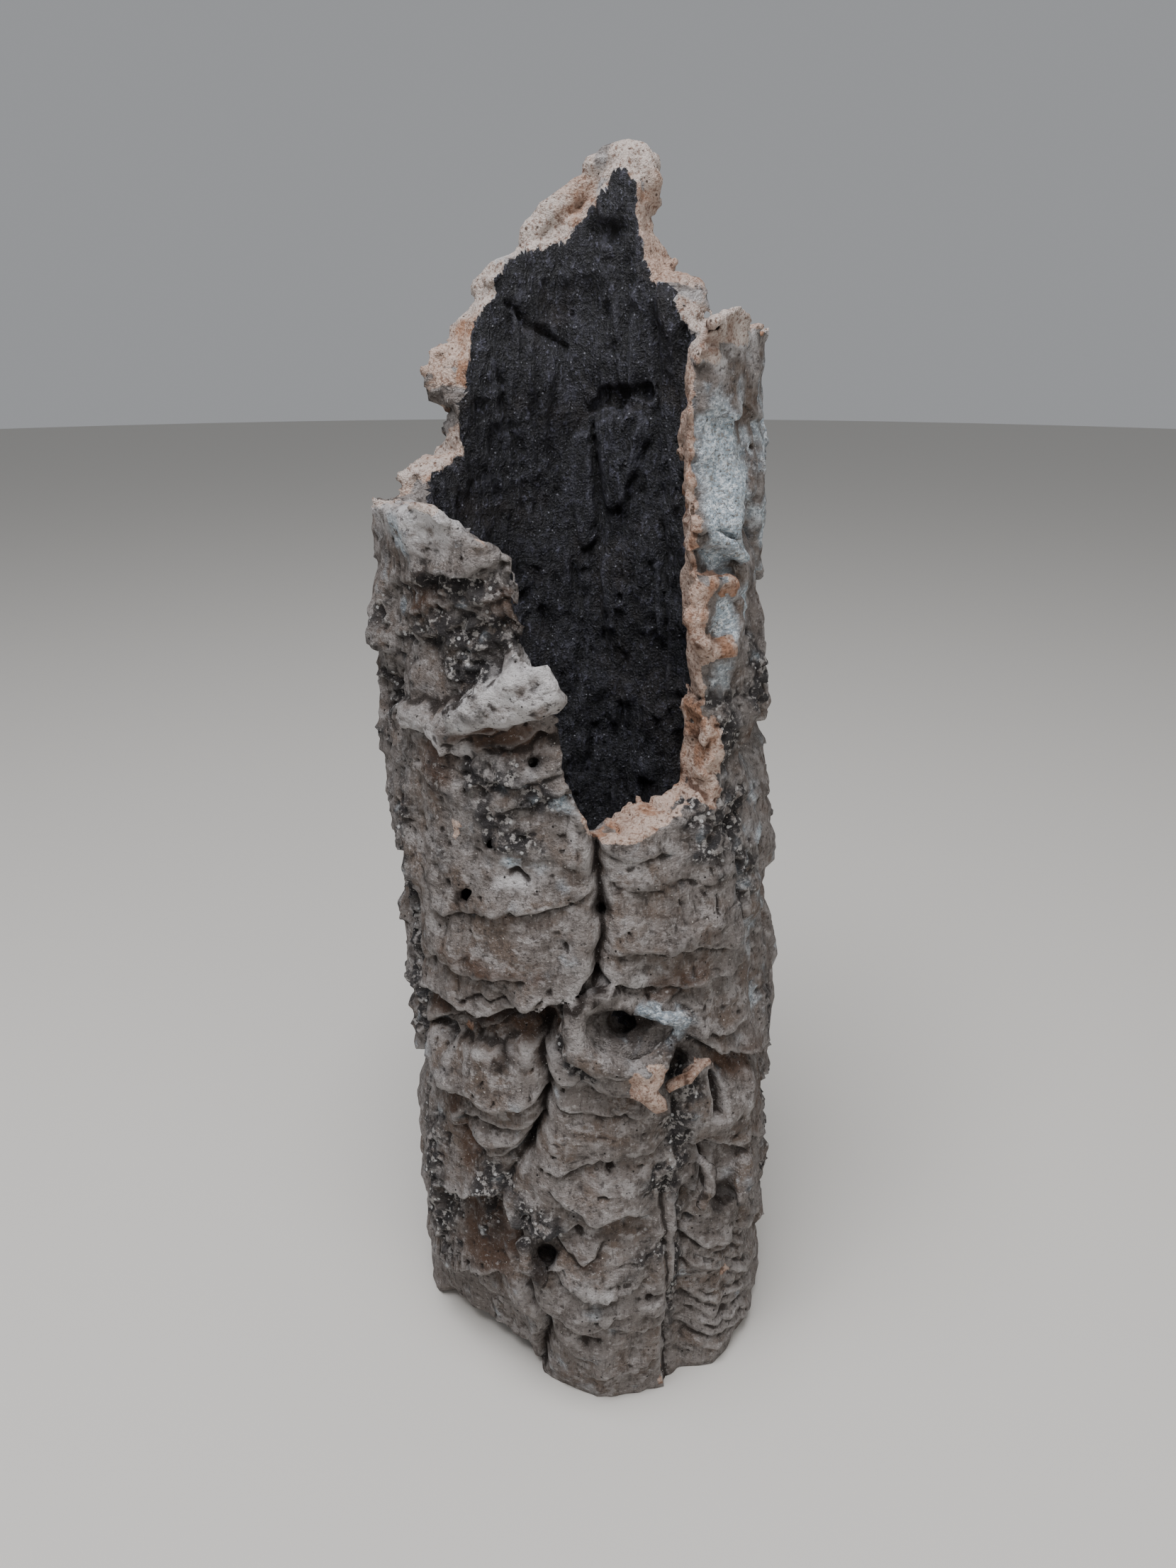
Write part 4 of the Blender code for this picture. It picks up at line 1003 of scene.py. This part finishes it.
def thinned(piece, faces):
    """The piece's mesh with fewer faces: fewest where the photograph doesn't show it."""
    place = Place(to_bark(points_of(piece.data)))
    behind = smooth((np.abs(turn(place.bearing, 0)) - 92.0) / 20.0)
    hollow = smooth((place.through - 0.5) / 0.3)
    unseen_wall = np.maximum(1.0 - behind, smooth((300.0 - place.height) / 60.0))
    # No weight is left at nothing, because the modifier wouldn't touch such a point at all
    weight = np.clip((1.0 - hollow) * 0.8 * behind + hollow * unseen_wall, 0.1, 1.0)
    group = piece.vertex_groups.new(name="plain")
    for level in range(1, 11):
        chosen = np.flatnonzero(np.round(weight * 10) == level)
        if len(chosen):
            group.add(chosen.tolist(), level / 10, "REPLACE")
    lighter = piece.modifiers.new("fewer faces", "DECIMATE")
    lighter.ratio = faces / (2.0 * len(piece.data.polygons))
    lighter.vertex_group = "plain"
    lighter.vertex_group_factor = DETAIL_PULL
    lighter.use_collapse_triangulate = True
    seen = piece.evaluated_get(bpy.context.evaluated_depsgraph_get())
    mesh = bpy.data.meshes.new_from_object(seen)
    piece.modifiers.remove(lighter)
    piece.vertex_groups.clear()
    piece.data = mesh


def paint(mesh, name, red, green, blue):
    """Stores three marks at each point of a mesh as one colour attribute: finishes, painted shade and painted
    highlight.
    """
    layer = mesh.color_attributes.new(name, "FLOAT_COLOR", "POINT")
    values = np.stack([red, green, blue, np.ones(len(red))], axis=1)
    layer.data.foreach_set("color", np.clip(values, 0.0, 1.0).astype(np.float32).ravel())


def chain_marks(points, place):
    """How near each point is to the limbs of each finish, and to the bores, with a broken edge; the bores'
    mark is used for painted shade.
    """
    marks = {"crust": 0.0, "fresh": 0.0, "bleached": 0.0, "lichen": 0.0, "bore": 0.0}
    torn = 1.6 * lumps_3d(points, (3.0, 3.0, 3.0), 67)
    for name, chain in LIMBS + [("bore", bore) for bore in BORES]:
        if name:
            near = near_chain(place, chain)
            mark = np.zeros(len(points))
            mark[near] = smooth((1.8 + torn[near] - chain_gap(points[near], chain)) / 1.2)
            marks[name] = np.maximum(marks[name], mark)
    return marks


def dress(piece):
    """Marks the finishes on the bark, with painted shade in its crevices and bores and painted highlight on
    its crests, and gives each face its material.
    """
    mesh = piece.data
    points = to_bark(points_of(mesh))
    place = Place(points)
    marks = chain_marks(points, place)
    broken = smooth((1.7 - place.edge) / 1.2)
    underside = smooth((1.2 - place.height + foot_height(place.bearing)) / 0.8)
    underside *= smooth((place.through - 0.08) / 0.1)
    torn = broken * place.skin("torn") + 0.6 * underside
    fresh = np.maximum.reduce([torn, place.skin("fresh") * (place.through < 0.5), marks["fresh"]])
    charred = smooth((place.through - 0.70) / 0.12) * (1.0 - smooth((1.3 - place.edge) / 0.8))
    crust = np.maximum.reduce([place.skin("crust"), 0.75 * marks["crust"], 0.8 * marks["lichen"]])
    crust = crust * (1.0 - marks["fresh"]) * (1.0 - marks["bleached"])
    # Painted shade: crevices and the walls of bores are darkened
    crevice_shade = np.maximum(place.skin("crevice_shade"), 0.8 * marks["bore"])
    paint(mesh, "relief", place.skin("crest_wear_and_highlight"), crevice_shade, crust)
    paint(mesh, "finish", fresh, np.maximum(place.skin("lichen"), 0.5 * marks["lichen"]), place.skin("brown"))
    paint(mesh, "grain", place.skin("fine"), sample(MAPS["char_shade_and_highlight"], place.bearing, place.height),
          np.maximum(place.skin("bleached"), marks["bleached"]))
    for material in (weathered_bark(), charred_lining()):
        mesh.materials.append(material)
    sides = np.zeros(len(mesh.polygons) * 3, np.int32)
    mesh.loops.foreach_get("vertex_index", sides)
    inward = (charred[sides.reshape(-1, 3)].mean(axis=1) > 0.5).astype(np.int32)
    mesh.polygons.foreach_set("material_index", inward)
    mesh.shade_smooth()


def linear(hex_colour):
    """An sRGB hex colour as linear values."""
    parts = [int(hex_colour[i:i + 2], 16) / 255 for i in (1, 3, 5)]
    return [p / 12.92 if p <= 0.04045 else ((p + 0.055) / 1.055) ** 2.4 for p in parts] + [1.0]


def put(tree, kind, inputs, out=0, **settings):
    """Adds a node with its settings, and with its inputs as values or as sockets to link."""
    made = tree.nodes.new("ShaderNode" + kind)
    for name, value in settings.items():
        setattr(made, name, value)
    for name, value in inputs.items():
        if isinstance(value, bpy.types.NodeSocket):
            tree.links.new(value, made.inputs[name])
        else:
            made.inputs[name].default_value = linear(value) if isinstance(value, str) else value
    return made.outputs[out]


def start_finish(name, patterns, scatters):
    """A material, its tree and its patterns: noises as (name, size in mm, stretch upwards, detail), and
    scattered points as (name, spacing in mm), whose value is the distance to the nearest one."""
    material = bpy.data.materials.new(name)
    material.use_nodes = True
    tree = material.node_tree
    where = put(tree, "TexCoord", {}, "Object")
    made = {}
    for pattern, size, stretch, detail in patterns:
        scale = (1000.0 / size, 1000.0 / size, 1000.0 / size / stretch)
        scaled = put(tree, "Mapping", {"Vector": where, "Scale": scale})
        made[pattern] = put(tree, "TexNoise", {
            "Vector": scaled, "Scale": 1.0, "Detail": detail, "Roughness": NOISE_ROUGHNESS})
    for pattern, spacing in scatters:
        made[pattern] = put(tree, "TexVoronoi", {"Vector": where, "Scale": 1000.0 / spacing})
    for attribute, names in FINISH_AND_SHADING_MARKS.items():
        colour = put(tree, "Attribute", {}, "Color", attribute_name=attribute)
        parts = put(tree, "SeparateColor", {"Color": colour}).node
        made.update(zip(names, parts.outputs))
    return material, tree, made


def coat(tree, colour, layers):
    """Lays colours over each other: (mask or None, pattern, the pattern's value where nothing shows,
    its value where all shows, strength, colour)."""
    for mask, pattern, none, full, strength, over in layers:
        span = {"Value": pattern, "From Min": none, "From Max": full, "To Max": strength}
        share = put(tree, "MapRange", span, interpolation_type="SMOOTHSTEP")
        if mask:
            share = put(tree, "Math", {0: share, 1: mask}, operation="MULTIPLY")
        colour = put(tree, "Mix", {0: share, 6: colour, 7: over}, 2, data_type="RGBA")
    return colour


def emboss(tree, shader, reach, heights):
    """Gives the shader a bump from (weight, pattern) pairs, whose full height is reach millimetres."""
    height = 0.0
    for weight, pattern in heights:
        height = put(tree, "Math", {0: pattern, 1: weight, 2: height}, operation="MULTIPLY_ADD")
    bump = put(tree, "Bump", {"Strength": 0.9, "Distance": reach * MM, "Height": height})
    tree.links.new(bump, shader.inputs["Normal"])


def torn_cork(tree, made):
    """Freshly torn cork: peach to tan, bleached paler where it is old, with a crumb of about 1.2 mm, and
    painted shade in its crevices and tiny hollows.
    """
    return coat(tree, "#b89f90", [
        (None, made["broad"], 0.40, 0.62, 0.8, "#cbb6a8"),
        (None, made["stain"], 0.50, 0.62, 0.8, "#9c7053"),
        (made["bleached"], made["grit"], 0.0, 0.30, 0.85, "#cfc5bd"),
        # Painted shade in crevices
        (made["crevice_shade"], made["grit"], 0.0, 0.30, 0.7, "#7d553c"),
        (None, made["crumb"], 0.50, 0.34, 0.75, "#775745"),
        (None, made["crumb"], 0.56, 0.72, 0.6, "#e0cfc4"),
        (None, made["rough"], 0.46, 0.34, 0.7, "#6d4d3b"),
        # Painted shade in tiny hollows
        (None, made["fine"], 0.42, 0.12, 0.85, "#503628"),
        (None, made["pores"], 0.16, 0.08, 0.8, "#3b2a20"),
    ])


# The finishes stored on the mesh, three to a colour attribute, with painted light among them: the crests are
# partly painted highlight, the crevices painted shade, and the finest relief and the charred relief carry
# painted highlight and painted shade
FINISH_AND_SHADING_MARKS = {
    "relief": ("crest_wear_and_highlight", "crevice_shade", "crust"),
    "finish": ("fresh", "lichen", "brown"),
    "grain": ("fine", "char_shade_and_highlight", "bleached"),
}


def weathered_bark():
    """Weathered cork bark: matt grey-taupe, fluted upright, pale on crests partly from wear and partly as
    painted highlight, brown in some hollows, with painted shade in crevices, bores, tiny hollows and pits.

    It carries crusts of black and white lichen specks, blue-grey lichen, and torn cork at its rims.
    """
    # Flutes are 1.6 mm apart and grit 0.9 mm; the finest grit is drawn coarser, so that it shows
    material, tree, made = start_finish("weathered cork bark", [
        ("flutes", 1.6, 5.0, 4.0), ("grit", 0.9, 1.0, 4.0), ("mottle", 9.0, 0.8, 4.0),
        ("bands", 12.0, 0.3, 5.0), ("broad", 42.0, 1.0, 2.0), ("clumps", 6.0, 0.8, 4.0),
        ("crumb", 1.3, 1.0, 4.0), ("film", 9.0, 0.7, 5.0), ("stain", 18.0, 1.2, 4.0),
        ("crumbs", 3.4, 0.9, 4.0), ("streaks", 2.4, 0.5, 5.0), ("rough", 2.6, 0.8, 5.0),
    ], [("specks", 4.2), ("pits", 6.0), ("pores", 4.6), ("flecks", 5.0)])
    shader = tree.nodes["Principled BSDF"]
    colour = coat(tree, "#78706b", [
        (None, made["broad"], 0.38, 0.62, 0.9, "#86807c"),
        (None, made["stain"], 0.48, 0.62, 0.7, "#665548"),
        (None, made["mottle"], 0.46, 0.66, 0.7, "#4f4742"),
        (None, made["bands"], 0.52, 0.68, 0.4, "#9a9490"),
        (None, made["bands"], 0.44, 0.30, 0.4, "#4c4643"),
        (None, made["film"], 0.52, 0.62, 0.7, "#a29d9a"),
        (None, made["flutes"], 0.48, 0.32, 0.55, "#403a37"),
        (None, made["flutes"], 0.56, 0.72, 0.4, "#a49f9b"),
        # Painted highlight, partly wear: raised crests paler
        (made["crest_wear_and_highlight"], made["mottle"], 0.25, 0.60, 0.6, "#b1adab"),
        (made["bleached"], made["film"], 0.32, 0.54, 0.9, "#c9c6c5"),
        (made["brown"], made["grit"], 0.10, 0.45, 0.9, "#523c2e"),
        (None, made["rough"], 0.44, 0.32, 0.75, "#3a3330"),
        (None, made["rough"], 0.58, 0.72, 0.6, "#bcb7b4"),
        # Painted highlight on tiny crests, and painted shade in tiny hollows
        (None, made["fine"], 0.60, 0.95, 0.4, "#b0aca9"),
        (None, made["fine"], 0.42, 0.12, 0.85, "#2b2420"),
        # Painted shade in crevices and bores
        (made["crevice_shade"], made["grit"], 0.0, 0.2, 0.9, "#231b17"),
        (made["crust"], made["clumps"], 0.36, 0.50, 0.93, "#2a2829"),
        (made["crust"], made["crumbs"], 0.54, 0.62, 0.85, "#aaa6a2"),
        (made["crust"], made["specks"], 0.20, 0.12, 0.8, "#cfcfcd"),
        (made["lichen"], made["film"], 0.26, 0.46, 0.92, "#a9bac6"),
        (made["lichen"], made["rough"], 0.52, 0.62, 0.8, "#e3ecf2"),
        (made["lichen"], made["streaks"], 0.52, 0.60, 0.85, "#f2f7fa"),
        (made["lichen"], made["streaks"], 0.47, 0.38, 0.8, "#8b8378"),
        (made["lichen"], made["grit"], 0.46, 0.34, 0.8, "#6a6d6f"),
        (made["lichen"], made["grit"], 0.56, 0.68, 0.8, "#f2f6f8"),
        (None, made["grit"], 0.60, 0.76, 0.55, "#cbc6c3"),
        (None, made["grit"], 0.42, 0.27, 0.7, "#2b2521"),
        # Painted shade: small pits drawn as near-black dots
        (None, made["pits"], 0.10, 0.05, 0.95, "#17120f"),
        (None, made["flecks"], 0.07, 0.04, 0.8, "#cfc9c0"),
    ])
    worn = put(tree, "Math", {0: made["grit"], 1: 0.6, 2: made["fresh"]}, operation="MULTIPLY_ADD")
    colour = coat(tree, colour, [(None, worn, 0.62, 0.86, 1.0, torn_cork(tree, made))])
    tree.links.new(colour, shader.inputs["Base Color"])
    emboss(tree, shader, 1.6, [
        (0.6, made["flutes"]), (0.9, made["grit"]), (1.5, made["rough"]), (0.8, made["crumb"])])
    shader.inputs["Roughness"].default_value = 0.92
    shader.inputs["Specular IOR Level"].default_value = 0.28
    return material


def charred_lining():
    """Charred inner bark: soot black with a cool sheen, partly painted as blue-grey highlights, painted
    highlight and shade on its relief, upright fibres, and a few ash-grey flecks.
    """
    # Charred fibres are 1.5 mm wide and split into scales about 8 mm long
    material, tree, made = start_finish("charred inner bark", [
        ("fibres", 1.5, 5.0, 4.0), ("scales", 7.0, 1.7, 4.0), ("grit", 1.0, 1.0, 4.0),
        ("broad", 36.0, 1.0, 3.0), ("crumb", 1.3, 1.0, 4.0), ("rough", 2.4, 1.6, 5.0),
        ("stain", 18.0, 1.2, 4.0),
    ], [("ash", 3.6), ("pores", 4.6)])
    shader = tree.nodes["Principled BSDF"]
    colour = coat(tree, "#0f0f13", [
        (None, made["fibres"], 0.48, 0.68, 0.8, "#303038"),
        # Painted highlight on raised charred relief, and painted shade in its hollows
        (None, made["char_shade_and_highlight"], 0.52, 0.85, 0.8, "#393941"),
        (None, made["char_shade_and_highlight"], 0.45, 0.15, 0.9, "#070708"),
        (None, made["broad"], 0.52, 0.68, 0.5, "#2c2521"),
        # Painted cool highlights on the scales, on the tops of the rough grain and of the grit
        (None, made["scales"], 0.56, 0.72, 0.55, "#4b4b57"),
        (None, made["rough"], 0.56, 0.70, 0.7, "#5a5a69"),
        (None, made["rough"], 0.44, 0.32, 0.8, "#09090b"),
        (None, made["grit"], 0.58, 0.74, 0.8, "#7b7b8a"),
        (None, made["ash"], 0.14, 0.06, 0.8, "#8e8f97"),
    ])
    worn = put(tree, "Math", {0: made["grit"], 1: 0.6, 2: made["fresh"]}, operation="MULTIPLY_ADD")
    colour = coat(tree, colour, [(None, worn, 0.70, 0.90, 1.0, torn_cork(tree, made))])
    tree.links.new(colour, shader.inputs["Base Color"])
    emboss(tree, shader, 1.8, [
        (1.0, made["fibres"]), (0.8, made["scales"]), (0.9, made["grit"]), (1.5, made["rough"])])
    shader.inputs["Roughness"].default_value = 0.55
    shader.inputs["Specular IOR Level"].default_value = 0.5
    return material


def make_bark():
    """The whole bark, from its field to its dressed mesh."""
    field, low = solid_field()
    points, quads = main_body(*surface_net(field, low))
    points[:, 2] = np.maximum(points[:, 2], 0.0)
    bark = mesh_from("bark", to_world(points), quads)
    thinned(bark, BARK_FACES)
    dress(bark)
    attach(bark, "root")
    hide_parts("cork_bark")
    return bark


def make_maps():
    """All the skin maps by name."""
    b = BEARING + np.degrees((1.2 * grain(9, 9, 31) + 0.7 * grain(3, 3, 32)) / BODY_RADIUS)
    h = LEVEL + 1.6 * grain(11, 9, 33) + 1.2 * grain(5, 4, 34) + 0.6 * grain(2.4, 2.2, 35)
    crust = finish_map(CRUST, 0.30, 101)
    relief = add_fine_relief(make_skin(b, h), crust)
    lining = make_lining(b, h)
    mean = mean_radius(BEARING, LEVEL).astype(np.float32)
    inner = (hollow_radius(BEARING, LEVEL) - lining).astype(np.float32)
    near, far = relief - blurred(relief, 4.0), relief - blurred(relief, 14.0)
    # The finest rise and fall of the relief, for painted highlight on tiny crests and painted shade in tiny
    # hollows
    fine = relief - blurred(relief, 1.6)
    held = 0.55 + 0.45 * smooth(LEVEL / 8.0)
    ragged = (0.9 * grain(13, 13, 71) + 1.3 * grain(5, 5, 72) + 0.8 * grain(2.4, 2.4, 73)).astype(np.float32)
    # Raised relief is paled, partly as worn bark and partly as a painted highlight
    crest_wear_and_highlight = np.maximum(0.7 * smooth((near - 0.4) / 3.0), 0.8 * smooth((far - 1.0) / 6.0))
    # Painted shade in sunken relief and in the listed holes and caves
    shaded_hollows = finish_map(SHADED_HOLLOWS, 0.15, 113, 4.0)
    crevice_shade = np.maximum.reduce([smooth((-near - 0.7) / 2.6), smooth((-far - 3.0) / 5.0), shaded_hollows])
    return {
        "mean": mean,
        "inner": inner,
        "outer": np.maximum(mean + relief * held, inner + LEAST_BARK).astype(np.float32),
        "rim": rim_gap(RIM) + ragged,
        "rim inside": rim_gap(RIM_INSIDE) + ragged,
        "crust": crust,
        "lichen": finish_map(LICHEN, 0.30, 103),
        "brown": finish_map(BROWN, 0.25, 105),
        "fresh": finish_map(FRESH, 0.25, 107, 3.0),
        "torn": finish_map(TORN, 0.12, 109, 5.0),
        "bleached": finish_map(BLEACHED, 0.30, 111),
        "crest_wear_and_highlight": crest_wear_and_highlight.astype(np.float32),
        "crevice_shade": crevice_shade.astype(np.float32),
        "fine": np.clip(0.5 + fine / 1.6, 0.0, 1.0).astype(np.float32),
        # The charred relief against its mean, for painted highlight on raised charred bark and painted shade
        # in its hollows
        "char_shade_and_highlight": np.clip(0.5 + (lining - blurred(lining, 4.0)) / 4.0, 0.0, 1.0).astype(np.float32),
    }


def make_floor():
    """A plain pale floor."""
    bpy.ops.mesh.primitive_circle_add(vertices=96, radius=6.0, fill_type="NGON", location=(0, 0, 0))
    floor = bpy.context.object
    floor.name = "floor"
    material = bpy.data.materials.new("pale matt card")
    material.use_nodes = True
    shader = material.node_tree.nodes["Principled BSDF"]
    shader.inputs["Base Color"].default_value = linear("#cdcac4")
    shader.inputs["Roughness"].default_value = 0.85
    floor.data.materials.append(material)


def make_light():
    """Plain soft studio light: a pale room, a broad light overhead and a weak one from the front."""
    world = bpy.data.worlds.new("studio")
    bpy.context.scene.world = world
    world.use_nodes = True
    room = world.node_tree.nodes["Background"]
    room.inputs["Color"].default_value = linear("#e4e6ea")
    room.inputs["Strength"].default_value = 0.42
    for name, at, size, watts, tint in (
            ("overhead", (-0.2, -0.55, 1.75), 0.9, 38.0, "#fbfbff"),
            ("front", (0.9, -1.5, 0.9), 1.2, 8.0, "#fffaf4")):
        lamp = bpy.data.lights.new(name, "AREA")
        lamp.shape, lamp.size, lamp.energy = "SQUARE", size, watts
        lamp.color = linear(tint)[:3]
        light = bpy.data.objects.new(name, lamp)
        light.location = at
        light.rotation_euler = (-direction_to_middle(at)).to_track_quat("Z", "Y").to_euler()
        bpy.context.collection.objects.link(light)


def direction_to_middle(at):
    """The way from a place to the middle of the bark."""
    return Vector((0.0, 0.0, HEIGHT * MM / 2)) - Vector(at)


# The photograph's camera: how far in front and above the floor, how far it looks down, and its lens
CAMERA_AT = (0.0003, -0.4536, 0.437)
CAMERA_DOWN = 21.1
CAMERA_LENS = 27.05


def make_camera():
    """The camera at the photograph's place and angle."""
    lens = bpy.data.cameras.new("camera")
    lens.sensor_width = 36.0
    lens.lens = CAMERA_LENS
    lens.clip_start = 0.01
    camera = bpy.data.objects.new("camera", lens)
    camera.location = CAMERA_AT
    camera.rotation_euler = (math.radians(90.0 - CAMERA_DOWN), 0.0, 0.0)
    bpy.context.collection.objects.link(camera)
    bpy.context.scene.camera = camera


MAPS = make_maps()
make_bark()
make_floor()
make_light()
make_camera()
